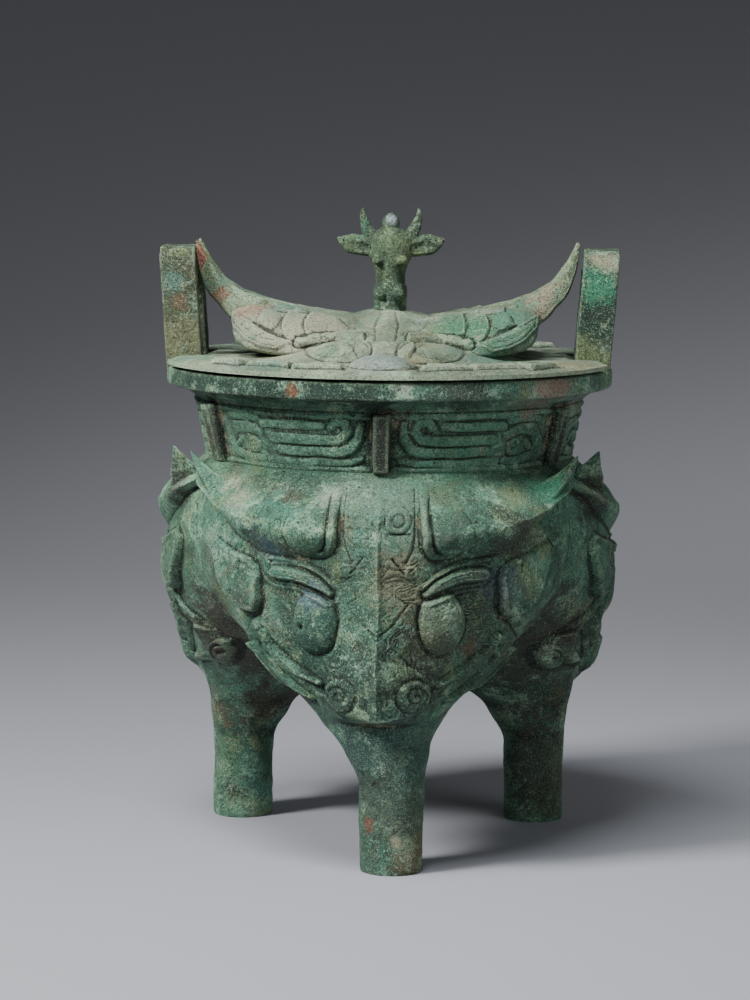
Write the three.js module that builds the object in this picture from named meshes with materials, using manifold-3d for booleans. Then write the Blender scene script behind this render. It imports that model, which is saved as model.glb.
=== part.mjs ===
// Cast bronze lidded tripod: a lobed cauldron on three solid legs, an ox mask over each leg,
// two upright loop handles on the lip, and a loose lid with two ox masks and an ox-head knob.
// Millimetres, +Z up, feet on z = 0, the front mask faces -Y.
import * as THREE from "three";
import loadManifold from "manifold-3d";

const kit = await loadManifold();
kit.setup();

const DEG = Math.PI / 180;

// Whole object
const AXIS_Y = 3.3;
const MASKS = 3;
const MASK_STEP = 360 / MASKS;
const REST_GAP = 0.3;
const BURY = 3;

// Pouch and leg: height, outermost reach from the axis, half width of the round section
const POUCH = [
  [0, 106.4, 15.8],
  [38, 106.4, 16.2],
  [57, 107.3, 20.6],
  [73, 109, 29.7],
  [91, 112.5, 46.5],
  [111, 116, 66.5],
  [130, 117.8, 86],
  [150, 118, 98],
  [180, 113, 103],
  [200, 98.5, 98.5],
];
const POUCH_RINGS = [0, 40, 55, 67, 78, 90, 104, 122, 144, 168, 186, 200];
const POUCH_SIDES = 21;
const WALL = 3.2;
const HOLLOW_FLOOR = 82;
const HOLLOW_RINGS = [82, 86, 98, 122, 160, 202];
const HOLLOW_SIDES = 18;
const FOOT_DRIFT = [6.4, 0, 1.4];
const DRIFT_TOP = 84;

// Neck and lip
const ROUND_SIDES = 36;
const NECK_R = 98;
const NECK_FOOT_Z = 194;
const LINE_LOW_Z = 203;
const LINE_HIGH_Z = 230;
const LINE_R = 1.3;
const LIP_R = 116;
const LIP_UNDER_R = 112;
const LIP_UNDER_Z = 238.6;
const LIP_EDGE_Z = 247.8;
const LIP_SEAT_Z = 250.6;
const MOUTH_R = 94;
const MOUTH_SIDES = 30;

// Short upright flanges of the neck band
const FLANGES = 6;
const FLANGE_WIDE = 9;
const FLANGE_OUT = 6.5;
const FLANGE_LOW_Z = 201.5;
const FLANGE_HIGH_Z = 231.5;

// One-legged dragon in each neck panel: body bar and curled tail
const DRAGON_OUT = 1.8;
const DRAGON_HALF = 2.6;
const TAIL = { along: 13.5, half: 3.6, z: 218.5, tall: 5.5 };

// Loop handles standing on the lip
const HANDLE_THICK = 17.5;
const HANDLE_WIDE = 46;
const HANDLE_BAR = 12;
const HANDLE_TOP_Z = 309.5;
const HANDLE_FOOT_Z = 241;
const HANDLE_LEAN = 5;
const HANDLE_ARC = 8;

// Ox mask, drawn in its own front plane: x across from the centre line, z up
const HORN_OUT = 5.5;
const HORN = [
  // x, z, half width
  [20, 175, 9],
  [27, 175.5, 15.5],
  [44, 177, 17],
  [61, 179, 14.5],
  [75, 185, 10.5],
  [87, 194.5, 6],
  [95.5, 206, 0.8],
];
const HORN_SIDES = 6;
const HORN_TIP_R = 116.5;
const HORN_TIP_THICK = 10;
const EAR = { x: 72, z: 148, half: 14.5, tall: 19, out: 7.5, tilt: 12 };
const EYE = { x: 31, z: 130, half: 14, tall: 16, out: 9.5 };
const BROW = [
  [54, 152.5, 6.5],
  [33, 152, 5.6],
  [17, 138, 1.2],
];
const BROW_OUT = 4;
const NOSTRIL = { x: 17.5, z: 92.5, half: 8.8, out: 8 };
const MUZZLE = { z: 94, half: 25, tall: 15, out: 4.5 };
const JAW = [
  [22, 85, 2.4],
  [59, 108, 3.4],
  [66, 117, 2.2],
];
const JAW_OUT = 4;
const RIDGE = [
  [0, 80, 4.5],
  [0, 125, 4],
  [0, 197, 2.4],
];
const RIDGE_OUT = 5;

// Lid plate
const LID_R = 115.2;
const LID_Z = LIP_SEAT_Z + REST_GAP;
const LID_THICK = 2.8;
const LID_SINK = 2;
const LID_WALL = 3.4;
const NOTCH_GAP = 1.5;

// Twin masks of the lid: a ridge along X that falls to the front and to the back
const LID_RIDGE = [
  // x, height over the plate, reach towards front and back
  [0, 27, 98],
  [22, 21, 80],
  [40, 19.5, 62],
  [58, 23, 50],
  [70, 20, 38],
  [76, 9, 26],
];
const LID_CUTS = [-76, -70, -52, -26, -8, 8, 26, 52, 70, 76];
const LID_ROOM_CUTS = [-72, -50, 0, 50, 72];
const LID_HORN = [
  // x, z, half height, half thickness
  [24, 264, 6.5, 5],
  [42, 267, 8, 5.5],
  [58, 271.5, 8.5, 5],
  [71, 277, 7.5, 4.5],
  [81, 284.5, 5.6, 4],
  [90, 296, 3.6, 3],
  [96, 313, 0.8, 0.8],
];
const LID_HORN_Y = 9;
const LID_EYE = { x: 27, y: 74, r: 10, out: 5 };
const LID_NOSE = { y: 92, half: 20, deep: 17, out: 9 };

// Knob: two upright ox heads back to back on one neck
const KNOB = [
  // height, half width, half depth
  [274, 17, 20],
  [280, 11, 13],
  [284, 8.6, 10],
  [289, 9.6, 12],
  [294, 8, 10.5],
  [300, 8.6, 10],
  [307, 11.5, 12],
  [314, 11, 11],
  [320, 7.5, 7],
  [325.5, 4, 4],
];
const KNOB_SIDES = 12;
const KNOB_EAR = [
  // x, z, half height, half thickness
  [7, 307, 3, 2.6],
  [14, 309, 5.2, 3],
  [21, 310.5, 4.8, 2.6],
  [27.5, 312.5, 0.8, 0.8],
];
const KNOB_HORN = [
  [6, 314, 3.4, 3.4],
  [11, 319, 3, 3],
  [14, 325, 2, 2],
  [14.2, 330, 0.7, 0.7],
];
const KNOB_EYE = { x: 8, y: 9, z: 303, r: 3.4 };

// Smooth reading of column `col` in a table sorted by its first column.
function read(table, at, col) {
  const last = table.length - 1;
  if (at <= table[0][0]) return table[0][col];
  if (at >= table[last][0]) return table[last][col];
  let i = 0;
  while (table[i + 1][0] < at) i += 1;
  const rise = (k) => (table[k + 1][col] - table[k][col]) / (table[k + 1][0] - table[k][0]);
  const slope = (k) => {
    if (k === 0) return rise(0);
    if (k === last) return rise(last - 1);
    const before = rise(k - 1);
    const after = rise(k);
    return before * after <= 0 ? 0 : (2 * before * after) / (before + after);
  };
  const span = table[i + 1][0] - table[i][0];
  const t = (at - table[i][0]) / span;
  const a = table[i][col] + slope(i) * span * t;
  const b = table[i + 1][col] - slope(i + 1) * span * (1 - t);
  const blend = t * t * (3 - 2 * t);
  return a + (b - a) * blend;
}

// Closed skin over rings of equal count, each end drawn to its own middle.
function loft(rings) {
  const count = rings[0].length;
  const middle = (ring) => ring.reduce((sum, p) => sum.add(p), new THREE.Vector3()).divideScalar(count);
  const points = rings.flat();
  const first = points.push(middle(rings[0])) - 1;
  const final = points.push(middle(rings.at(-1))) - 1;
  const faces = [];
  for (let i = 0; i < count; i += 1) {
    const j = (i + 1) % count;
    faces.push([first, j, i]);
    for (let k = 0; k + 1 < rings.length; k += 1) {
      const a = k * count;
      const b = a + count;
      faces.push([a + i, a + j, b + j], [a + i, b + j, b + i]);
    }
    const end = (rings.length - 1) * count;
    faces.push([final, end + i, end + j]);
  }
  return solid(points, faces);
}

function solid(points, faces) {
  let volume = 0;
  for (const [a, b, c] of faces) {
    volume += points[a].dot(new THREE.Vector3().crossVectors(points[b], points[c]));
  }
  const turned = volume < 0 ? faces.map(([a, b, c]) => [a, c, b]) : faces;
  const mesh = new kit.Mesh({
    numProp: 3,
    vertProperties: new Float32Array(points.flatMap((p) => [p.x, p.y, p.z])),
    triVerts: new Uint32Array(turned.flat()),
  });
  mesh.merge();
  return new kit.Manifold(mesh);
}

const join = (list) => kit.Manifold.union(list);
const circle = (count, at) => Array.from({ length: count }, (_, i) => at((i / count) * 2 * Math.PI));

// Turns a point of the front mask's frame (x across, forward, up) to mask number `mask`.
function faceTo(mask, x, forward, z) {
  const turn = (mask * MASK_STEP - 90) * DEG;
  const across = turn + Math.PI / 2;
  return new THREE.Vector3(
    forward * Math.cos(turn) + x * Math.cos(across),
    forward * Math.sin(turn) + x * Math.sin(across),
    z,
  );
}

// A point on a pouch's skin, lifted off it by `lift`.
function onSkin(mask, x, z, lift) {
  const half = read(POUCH, z, 2);
  const centre = read(POUCH, z, 1) - half;
  const side = Math.asin(Math.max(-0.995, Math.min(0.995, x / half)));
  return faceTo(mask, (half + lift) * Math.sin(side), centre + (half + lift) * Math.cos(side), z);
}

function pouch(mask) {
  return loft(POUCH_RINGS.map((z) => {
    const half = read(POUCH, z, 2);
    const centre = read(POUCH, z, 1) - half;
    const fall = THREE.MathUtils.smoothstep(DRIFT_TOP - z, 0, DRIFT_TOP / 2);
    return circle(POUCH_SIDES, (a) => (
      faceTo(mask, half * Math.sin(a) + FOOT_DRIFT[mask] * fall, centre + half * Math.cos(a), z)
    ));
  }));
}

// The room inside one pouch, a wall's thickness in from its skin, rounded over the solid leg.
function pouchRoom(mask) {
  return loft(HOLLOW_RINGS.map((z) => {
    const half = read(POUCH, z, 2);
    const centre = read(POUCH, z, 1) - half;
    const open = Math.sqrt(Math.min(1, (z - HOLLOW_FLOOR + 0.6) / 12));
    const room = (half - WALL) * open;
    return circle(HOLLOW_SIDES, (a) => faceTo(mask, room * Math.sin(a), centre + room * Math.cos(a), z));
  }));
}

// A turned form about the vessel's axis from [radius, height] pairs.
function turned(profile, sides = ROUND_SIDES) {
  return loft(profile.map(([r, z]) => (
    circle(sides, (a) => new THREE.Vector3(r * Math.cos(a), r * Math.sin(a), z))
  )));
}

// A raised patch with a round or drop-shaped outline: walls, then a dome.
function boss(mask, side, { x = 0, z, half, tall = half, out, tilt = 0 }, sides, dome) {
  const lean = tilt * DEG;
  const ring = ([grow, lift]) => circle(sides, (a) => {
    const u = half * grow * Math.cos(a);
    const v = tall * grow * Math.sin(a);
    const across = x + u * Math.cos(lean) + v * Math.sin(lean);
    return onSkin(mask, side * across, z - u * Math.sin(lean) + v * Math.cos(lean), lift * out);
  });
  return loft([[1, -BURY / out], ...dome].map(ring));
}

// A raised band along stations of [x, z, half width] on a pouch's skin.
function band(mask, side, stations, out) {
  return loft(stations.map(([x, z, half], i) => {
    const before = stations[Math.max(0, i - 1)];
    const after = stations[Math.min(stations.length - 1, i + 1)];
    const along = new THREE.Vector2(after[0] - before[0], after[1] - before[1]).normalize();
    const section = [[-1, -BURY], [-0.8, out], [0.8, out], [1, -BURY]];
    return section.map(([across, lift]) => (
      onSkin(mask, side * (x - along.y * across * half), z + along.x * across * half, lift)
    ));
  }));
}

// A mask's horn: lies on the pouch at its root and leaves it towards a free tip.
function maskHorn(mask, side) {
  return loft(HORN.map(([x, z, half], i) => {
    const before = HORN[Math.max(0, i - 1)];
    const after = HORN[Math.min(HORN.length - 1, i + 1)];
    const along = new THREE.Vector2(after[0] - before[0], after[1] - before[1]).normalize();
    const free = THREE.MathUtils.smoothstep(i, 2, 5);
    const thick = HORN_TIP_THICK * Math.min(1, half / 6);
    return circle(HORN_SIDES, (a) => {
      const across = Math.cos(a) * half;
      const rise = Math.sin(a);
      const px = x - along.y * across;
      const pz = z + along.x * across;
      const lift = Math.abs(rise) < 0.1 ? HORN_OUT / 2 : Math.sign(rise) * (rise > 0 ? HORN_OUT : BURY);
      const skin = onSkin(mask, side * px, pz, lift);
      const r = HORN_TIP_R - thick / 2 + (rise * thick) / 2;
      const loose = faceTo(mask, side * px, Math.sqrt(Math.max(1, r * r - px * px)), pz);
      return skin.lerp(loose, free);
    });
  }));
}

function oxMask(mask) {
  const list = [
    boss(mask, 1, MUZZLE, 8, [[1, 0.8], [0.75, 1]]),
    band(mask, 1, RIDGE, RIDGE_OUT),
  ];
  for (const side of [-1, 1]) {
    list.push(
      maskHorn(mask, side),
      boss(mask, side, EAR, 8, [[1, 1]]),
      boss(mask, side, EYE, 9, [[1, 0.3], [0.75, 0.8], [0.3, 1]]),
      boss(mask, side, NOSTRIL, 8, [[1, 1]]),
      band(mask, side, BROW, BROW_OUT),
      band(mask, side, JAW, JAW_OUT),
    );
  }
  return list;
}

// A point of the neck band by bearing, height and distance out from the neck.
function onNeck(bearing, z, out) {
  const r = NECK_R + out;
  return new THREE.Vector3(r * Math.cos(bearing * DEG), r * Math.sin(bearing * DEG), z);
}

function flange(number) {
  const bearing = number * (360 / FLANGES) - 90;
  const half = FLANGE_WIDE / 2 / NECK_R / DEG;
  const ring = (z, out) => [
    onNeck(bearing - half, z, -BURY),
    onNeck(bearing + half, z, -BURY),
    onNeck(bearing + half, z, out),
    onNeck(bearing - half, z, out),
  ];
  return loft([ring(FLANGE_LOW_Z, FLANGE_OUT * 0.8), ring(FLANGE_HIGH_Z, FLANGE_OUT)]);
}

// A dragon faces each flange from both sides, so neighbours are mirrored.
function dragon(panel) {
  const towards = panel % 2 ? 1 : -1;
  const from = (panel + (towards < 0 ? 1 : 0)) * (360 / FLANGES) - 90;
  const place = (along, z, out) => onNeck(from + towards * along, z, out);
  const strip = (stations) => loft(stations.map(([along, z], i) => {
    const next = stations[Math.min(stations.length - 1, i + 1)];
    const prior = stations[Math.max(0, i - 1)];
    const run = new THREE.Vector2((next[0] - prior[0]) * NECK_R * DEG, next[1] - prior[1]).normalize();
    const section = [[-1, -BURY], [-1, DRAGON_OUT], [1, DRAGON_OUT], [1, -BURY]];
    return section.map(([across, out]) => place(
      along - (run.y * across * DRAGON_HALF) / NECK_R / DEG,
      z + run.x * across * DRAGON_HALF,
      out,
    ));
  }));
  const tail = [-75, 0, 75, 150].map((turn) => (
    [TAIL.along - TAIL.half * Math.cos(turn * DEG), TAIL.z + TAIL.tall * Math.sin(turn * DEG)]
  ));
  return strip([[44, 222], [22, 213], ...tail]);
}

// An inverted U of square bar, leaning outward, its feet cast into the lip.
function handle(side) {
  const half = HANDLE_WIDE / 2;
  const path = [[half, HANDLE_FOOT_Z]];
  for (let i = 0; i <= 4; i += 1) {
    const a = (i * 22.5) * DEG;
    const inset = HANDLE_ARC * (1 - Math.cos(a));
    const down = HANDLE_ARC * (1 - Math.sin(a));
    path.push([half - inset, HANDLE_TOP_Z - down]);
  }
  const outer = [...path, ...path.map(([y, z]) => [-y, z]).reverse()];
  const centre = HANDLE_TOP_Z - HANDLE_BAR;
  const inner = outer.map(([y, z]) => [
    Math.sign(y) * Math.max(1, Math.abs(y) - HANDLE_BAR),
    z === HANDLE_FOOT_Z ? z : Math.min(centre, z - HANDLE_BAR),
  ]);
  const lean = (z) => (HANDLE_LEAN * (z - HANDLE_FOOT_Z)) / (HANDLE_TOP_Z - HANDLE_FOOT_Z);
  const at = ([y, z], r) => new THREE.Vector3(side * (r + lean(z)), y, z);
  const back = LIP_R - HANDLE_THICK;
  return loft(outer.map((_, i) => [
    at(outer[i], back),
    at(outer[i], LIP_R),
    at(inner[i], LIP_R),
    at(inner[i], back),
  ]));
}

function vessel() {
  const neck = turned([
    [88, NECK_FOOT_Z],
    [NECK_R, NECK_FOOT_Z + 4],
    [NECK_R, LINE_LOW_Z - 2],
    [NECK_R + LINE_R, LINE_LOW_Z],
    [NECK_R, LINE_LOW_Z + 2],
    [NECK_R, LINE_HIGH_Z - 2],
    [NECK_R + LINE_R + 1, LINE_HIGH_Z],
    [LIP_UNDER_R, LIP_UNDER_Z],
    [LIP_R, LIP_UNDER_Z + 0.4],
    [LIP_R, LIP_EDGE_Z],
    [MOUTH_R, LIP_SEAT_Z],
  ]);
  const mouth = turned([
    [MOUTH_R, NECK_FOOT_Z + 3],
    [MOUTH_R, LIP_SEAT_Z + 5],
  ], MOUTH_SIDES);
  const solids = [neck];
  const rooms = [mouth];
  for (let mask = 0; mask < MASKS; mask += 1) {
    solids.push(pouch(mask), ...oxMask(mask));
    rooms.push(pouchRoom(mask));
  }
  for (let i = 0; i < FLANGES; i += 1) solids.push(flange(i), dragon(i));
  solids.push(handle(-1), handle(1));
  return join(solids).subtract(join(rooms));
}

// The lid's mound: at each station across, a section that falls from the ridge to front and back.
function lidMound(stations, cuts, floor, base, shrink) {
  return loft(stations.map((x) => {
    const height = read(LID_RIDGE, Math.abs(x), 1) - shrink;
    const reach = read(LID_RIDGE, Math.abs(x), 2) - 2 * shrink;
    const rise = (cut) => base + height * (1 - cut) ** 0.85 * (1 + 0.25 * cut);
    const front = cuts.map((cut) => new THREE.Vector3(x * (1 - shrink / 60), -reach * cut, rise(cut)));
    const back = front.map((p) => new THREE.Vector3(p.x, -p.y, p.z)).reverse();
    const under = [reach, -reach].map((y) => new THREE.Vector3(x * (1 - shrink / 60), y, floor));
    return [...front, ...back, ...under];
  }));
}

// A free-standing taper along stations of [x, z, half height, half thickness] at depth y.
function taper(stations, side, y, sides) {
  return loft(stations.map(([x, z, tall, thick], i) => {
    const before = stations[Math.max(0, i - 1)];
    const after = stations[Math.min(stations.length - 1, i + 1)];
    const along = new THREE.Vector2(after[0] - before[0], after[1] - before[1]).normalize();
    return circle(sides, (a) => new THREE.Vector3(
      side * (x - along.y * tall * Math.cos(a)),
      y + thick * Math.sin(a),
      z + along.x * tall * Math.cos(a),
    ));
  }));
}

// A dome standing on the lid or knob.
function dome(x, y, z, half, deep, out, sink) {
  const point = (a, grow, up) => (
    new THREE.Vector3(x + half * grow * Math.cos(a), y + deep * grow * Math.sin(a), z + up)
  );
  const rings = [[1, -sink], [1, 0.2 * out], [0.6, 0.9 * out]];
  return loft(rings.map(([grow, up]) => circle(8, (a) => point(a, grow, up))));
}

function lid() {
  const top = LID_Z + LID_THICK;
  const plate = turned([
    [LID_R - 1, LID_Z],
    [LID_R, LID_Z + 0.8],
    [LID_R - 0.4, top],
  ]);
  const solids = [plate, lidMound(LID_CUTS, [1, 0.75, 0.5, 0.28, 0.1], top - LID_SINK, top, 0)];
  const { x, y, z, r } = KNOB_EYE;
  for (const face of [-1, 1]) {
    solids.push(dome(0, face * LID_NOSE.y, top, LID_NOSE.half, LID_NOSE.deep, LID_NOSE.out, LID_SINK));
    for (const side of [-1, 1]) {
      solids.push(
        taper(LID_HORN, side, face * LID_HORN_Y, 6),
        dome(side * LID_EYE.x, face * LID_EYE.y, top + 3, LID_EYE.r, LID_EYE.r, LID_EYE.out, LID_SINK),
        dome(side * x, face * y, z, r, r, r, r),
      );
    }
  }
  solids.push(loft(KNOB.map(([z, wide, deep]) => (
    circle(KNOB_SIDES, (a) => new THREE.Vector3(wide * Math.cos(a), deep * Math.sin(a), z))
  ))));
  for (const side of [-1, 1]) solids.push(taper(KNOB_EAR, side, 0, 6), taper(KNOB_HORN, side, 0, 6));
  const notches = [-1, 1].map((side) => {
    const x0 = LIP_R - HANDLE_THICK - NOTCH_GAP;
    const y0 = HANDLE_WIDE / 2 + NOTCH_GAP;
    const ring = (z) => [[x0, -y0], [LID_R + 9, -y0], [LID_R + 9, y0], [x0, y0]].map(([x, y]) => (
      new THREE.Vector3(side * x, y, z)
    ));
    return loft([ring(LID_Z - 5), ring(top + 5)]);
  });
  const hollow = lidMound(LID_ROOM_CUTS, [1, 0.4, 0.1], LID_Z - 5, top, LID_WALL);
  return join(solids).subtract(join([...notches, hollow]));
}

function piece(name, form, colour) {
  const { vertProperties, triVerts } = form.getMesh();
  const geometry = new THREE.BufferGeometry();
  geometry.setAttribute("position", new THREE.BufferAttribute(new Float32Array(vertProperties), 3));
  geometry.setIndex(new THREE.BufferAttribute(new Uint32Array(triVerts), 1));
  geometry.translate(0, AXIS_Y, 0);
  geometry.computeVertexNormals();
  const material = new THREE.MeshStandardMaterial({ color: colour, metalness: 0.4, roughness: 0.7 });
  const mesh = new THREE.Mesh(geometry, material);
  mesh.name = name;
  return mesh;
}

const part = new THREE.Group();
part.name = "lidded_tripod";
part.add(piece("vessel", vessel(), "#5d7f6c"), piece("lid", lid(), "#7f937c"));

export default part;
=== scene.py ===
import math

import bpy
import numpy as np
from mathutils import Matrix, Vector


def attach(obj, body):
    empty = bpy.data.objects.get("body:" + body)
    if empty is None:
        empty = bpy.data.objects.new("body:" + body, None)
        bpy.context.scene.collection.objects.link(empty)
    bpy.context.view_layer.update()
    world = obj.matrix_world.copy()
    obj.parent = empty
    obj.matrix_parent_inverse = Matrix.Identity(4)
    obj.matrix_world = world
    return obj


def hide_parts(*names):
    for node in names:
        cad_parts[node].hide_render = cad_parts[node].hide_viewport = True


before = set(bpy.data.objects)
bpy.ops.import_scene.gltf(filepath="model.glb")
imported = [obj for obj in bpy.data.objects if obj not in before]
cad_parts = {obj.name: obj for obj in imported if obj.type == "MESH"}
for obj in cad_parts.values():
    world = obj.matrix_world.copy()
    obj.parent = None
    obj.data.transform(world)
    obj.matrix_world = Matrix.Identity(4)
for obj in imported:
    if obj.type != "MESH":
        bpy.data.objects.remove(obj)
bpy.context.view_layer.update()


# The pot: three swelling pouches on round solid legs, cast in bronze in clay piece moulds with the neck.
# The front of each pouch is an ox mask in high relief, whose keel runs down between the nostrils.
# Here each pouch and its leg is one closed shell, 3.2 mm thick, cut where it meets its neighbours.
MM = 0.001
AXIS_Y = 3.3
MASK_NAMES = ("pot_front", "pot_right", "pot_left")
MASK_STEP = 120
POUCH = np.array([
    # height, reach from the axis, half width of the round section
    [0, 106.4, 15.8], [38, 106.4, 16.2], [57, 107.3, 20.6], [73, 109, 29.7], [91, 112.5, 46.5],
    [111, 116, 66.5], [130, 117.8, 86], [150, 118, 98], [180, 112.5, 103], [192, 104.5, 101], [202, 95, 95],
])
POUCH_TOP = 202
WALL = 3.2
ROOM_FLOOR = 82
ROOM_BOWL = 12
FOOT_DRIFT = (6.4, 0, 1.4)
DRIFT_TOP = 84
FACE_STEP = (0.42, 0.55, 0.55)
FACE_RISE = (0.67, 0.86, 0.86)
FACE_HALF = 82
BACK_STEP = 4
LEG_RISE = 1.8
FACE_FOOT = 76
FOOT_ROUND = 1.2

FACE = [(-6, 79), (0, 79), (22, 83.5), (36, 92), (52, 101), (62, 106.5), (68, 111), (70.5, 117),
        (67, 125), (61, 133), (60, 152), (-6, 152)]
HORN_EDGE = [(20.5, 190), (20.5, 176), (21.5, 167), (25, 161.5), (30, 159.5), (40, 160), (50, 161.3),
             (62, 163), (73, 168.5), (81, 176), (89, 185.5), (97.5, 199)]
HORN_CREST = [(20, 175), (42, 175.5), (50, 176.5), (60, 178), (71, 180), (80, 183.5), (88, 189.5), (97, 200)]
HORN_CLOSE = [(99, 216), (20.5, 216)]
HORN_LIFT = (10.5, 8.5, 8.5)
HORN_EDGE_LIFT = 0.8
SIDE_HORN_RINGS = (40, 45, 50, 55, 60, 65, 70)
HORN_RINGS = ((46, 56, 67), SIDE_HORN_RINGS, SIDE_HORN_RINGS)
RING_DEPTH = (0.6, 1.2, 1.2)
RING_BOW = 0.012
RING_MIDDLE = 178
HORN_TIP = np.array([
    # place along, then across and height of the ridge, of the lower edge and of the upper edge
    [0, 66, 179, 66, 168, 64, 188], [1, 76, 182, 76, 172.5, 73, 193], [2, 84, 187, 84.5, 179.5, 81, 197],
    [3, 91, 194, 92, 188, 88, 201], [4, 96.5, 203.5, 97, 200, 94.5, 205.5],
    [4.6, 98, 208, 98.2, 207.4, 97.8, 208.4],
])
HORN_TIP_R = 116.5
TIP_LOWER_IN = 12
TIP_UPPER_IN = 4.5
TIP_BACK_IN = 14
BULB = (34, 173.5, 10.5, 13)
BULB_LIFT = 2.6
EAR = [(61, 150), (61, 136), (62.5, 131.5), (66, 130.3), (72, 131.5), (77, 135.5), (81, 142), (85, 151),
       (89, 161), (86, 166), (76, 161), (67, 158.5), (62.5, 155)]
EAR_FOLD = [(64, 144.5), (68, 146.5), (71, 151), (71.5, 156)]
BROW_RIM = [(56, 159.5), (45, 159.5), (36, 157), (28, 152.5), (22.5, 147.5)]
BROW_BAND = [(52.5, 152.8, 2.4), (45, 152.8, 2.6), (37, 151.3, 2.5), (30, 148, 2), (24.5, 144.2, 0.9)]
BROW_END = [(56.6, 158), (57, 150.5), (53.5, 147)]
EYE = (31.5, 129.5, 11.5, 16)
EYE_MEAN_R = 13
PUPIL = (-37, 127)
NOSTRIL = (18, 92.5, 8)
MOUTH = [(34, 91.5, 0.6), (44, 97, 1.3), (51, 102, 1.8), (59, 109, 1.5), (63, 115, 0.6)]
UPPER_LIP = [(30, 97.5, 0.8), (40, 102.5, 1.9), (48, 107, 2.3), (56, 113.5, 2), (60, 121, 1)]
LOWER_LIP = [(36, 88.5, 0.8), (46, 93, 1.8), (54, 98, 2.3), (62, 104.5, 2.3), (66.5, 111, 1.6)]
FACE_LINES = [
    # depth, half width and course of the diamond, the arc over the bridge and the tongue on the forehead
    (0.65, 0.6, [(0, 152), (8, 144), (15, 139.5), (8, 131), (1, 124)]),
    (0.7, 0.6, [(17, 152), (11, 156.5), (7.5, 162)]),
    (0.8, 0.7, [(17.6, 194), (17.6, 175), (16.5, 166), (13, 160)]),
]
FOREHEAD_CURL = (16.5, 155.5, 3.4)
MOUTH_CURL = (83, 98, 8)
TIP_IN = (0, 0.09, 0.09)
FLAT_LIFT = 4
FACE_LIFT = 2.8
FACE_FADE = (116, 150)
KEEL_LIFT = 9.2
KEEL_HALF = 29
KEEL_FOOT = (76.5, 80.5)
KEEL_HEAD = (182, 200)
KEEL_EDGE_LIFT = 1.1
KEEL_EDGE_HALF = 2.0
KEEL_EDGE_FOOT = (80, 86)
KEEL_EDGE_HEAD = (188, 198)
SNOUT = (0, 95, 27, 17)
SNOUT_LIFT = 2.6
SNOUT_FOOT = (78, 81)
SCROLL_DEPTH = 0.45
SCROLL_FOOT = (84, 88)
SCROLL_HEAD = (160, 166)
BRIDGE_FOOT = (130, 150)
BRIDGE_HALF = 20
FOREHEAD_HALF = 16.5
BRICK_FOOT = 160
BRICK_RISE = 4.6
BRICK_WIDE = 6
BRICK_FROM = (161, 164)
BRICK_TO = (195, 198)
BRICK_DEPTH = 0.55
FOREHEAD_RING = (9.5, 180, 0)
RING_SIZES = (3.0, 6.6)
RING_CUT = 0.7
FOREHEAD_BAR = (10, 173.5, 6)
UPPER_LIP_LIFT = 3.4
LOWER_LIP_LIFT = 4.0
MOUTH_DEPTH = 4.0
NOSTRIL_LIFT = 1.5
SOCKET_FLOOR = 1.4
EYE_LIFT = 5.4
PUPIL_DEPTH = 2.4
BROW_FIELD = 2.6
BROW_LIFT = 2.2
EAR_FLAT = 1.4
EAR_LIFT = 3.8
EAR_FADE = (139, 166)
CURL_LIFT = 5.6
LINE = 0.6
CREASE = 52
HOLLOWS = [
    # name, rounds of smoothing, and the depth that counts as 1
    ("fine", 3, 0.15), ("broad", 40, 1.6),
]


def read(table, at, column):
    """Smooth reading of one column of a table sorted by its first column."""
    known, value = table[:, 0], table[:, column]
    span = np.diff(known)
    rise = np.diff(value) / span
    turn = rise[:-1] * rise[1:]
    inner = np.where(turn > 0, 2 * turn / (rise[:-1] + rise[1:] + 1e-12), 0)
    tilt = np.concatenate([rise[:1], inner, rise[-1:]])
    at = np.clip(at, known[0], known[-1])
    i = np.clip(np.searchsorted(known, at, side="right") - 1, 0, len(span) - 1)
    t = (at - known[i]) / span[i]
    near = value[i] + tilt[i] * span[i] * t
    far = value[i + 1] - tilt[i + 1] * span[i] * (1 - t)
    return near + (far - near) * t * t * (3 - 2 * t)


def ease(low, high, at):
    """0 below low, 1 above high, and a soft step between."""
    t = np.clip((at - low) / (high - low), 0, 1)
    return t * t * (3 - 2 * t)


def within(gap, soft):
    """1 inside an outline and 0 outside it, from the gap to it, with a wall as wide as twice soft."""
    return 1 - ease(-soft, soft, gap)


def score(gap, half):
    """A rounded groove or bead along gap = 0."""
    return np.exp(-(gap / half) ** 2)


def line_gap(x, z, line):
    """Gap to a drawn line of (x, z) or (x, z, half width) points; below 0 inside its width."""
    best = np.full(np.shape(x), 1e9)
    for start, end in zip(line[:-1], line[1:]):
        dx, dz = end[0] - start[0], end[1] - start[1]
        t = np.clip(((x - start[0]) * dx + (z - start[1]) * dz) / (dx * dx + dz * dz), 0, 1)
        half = start[2] + (end[2] - start[2]) * t if len(start) > 2 else 0
        best = np.minimum(best, np.hypot(x - start[0] - dx * t, z - start[1] - dz * t) - half)
    return best


def shape_gap(x, z, corners):
    """Gap to a closed outline; below 0 inside it."""
    inside = np.zeros(np.shape(x), bool)
    for (x0, z0), (x1, z1) in zip(corners, corners[1:] + corners[:1]):
        if z0 != z1:
            crossing = (z0 > z) != (z1 > z)
            inside ^= crossing & (x < (x1 - x0) * (z - z0) / (z1 - z0) + x0)
    gap = line_gap(x, z, corners + corners[:1])
    return np.where(inside, -gap, gap)


def disc_gap(x, z, disc):
    """Gap to a round outline (x, z, radius); below 0 inside it."""
    return np.hypot(x - disc[0], z - disc[1]) - disc[2]


def oval_share(x, z, oval):
    """0 in the middle of an oval (x, z, half width, half height) and 1 on its edge."""
    return np.hypot((x - oval[0]) / oval[2], (z - oval[1]) / oval[3])


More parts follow.
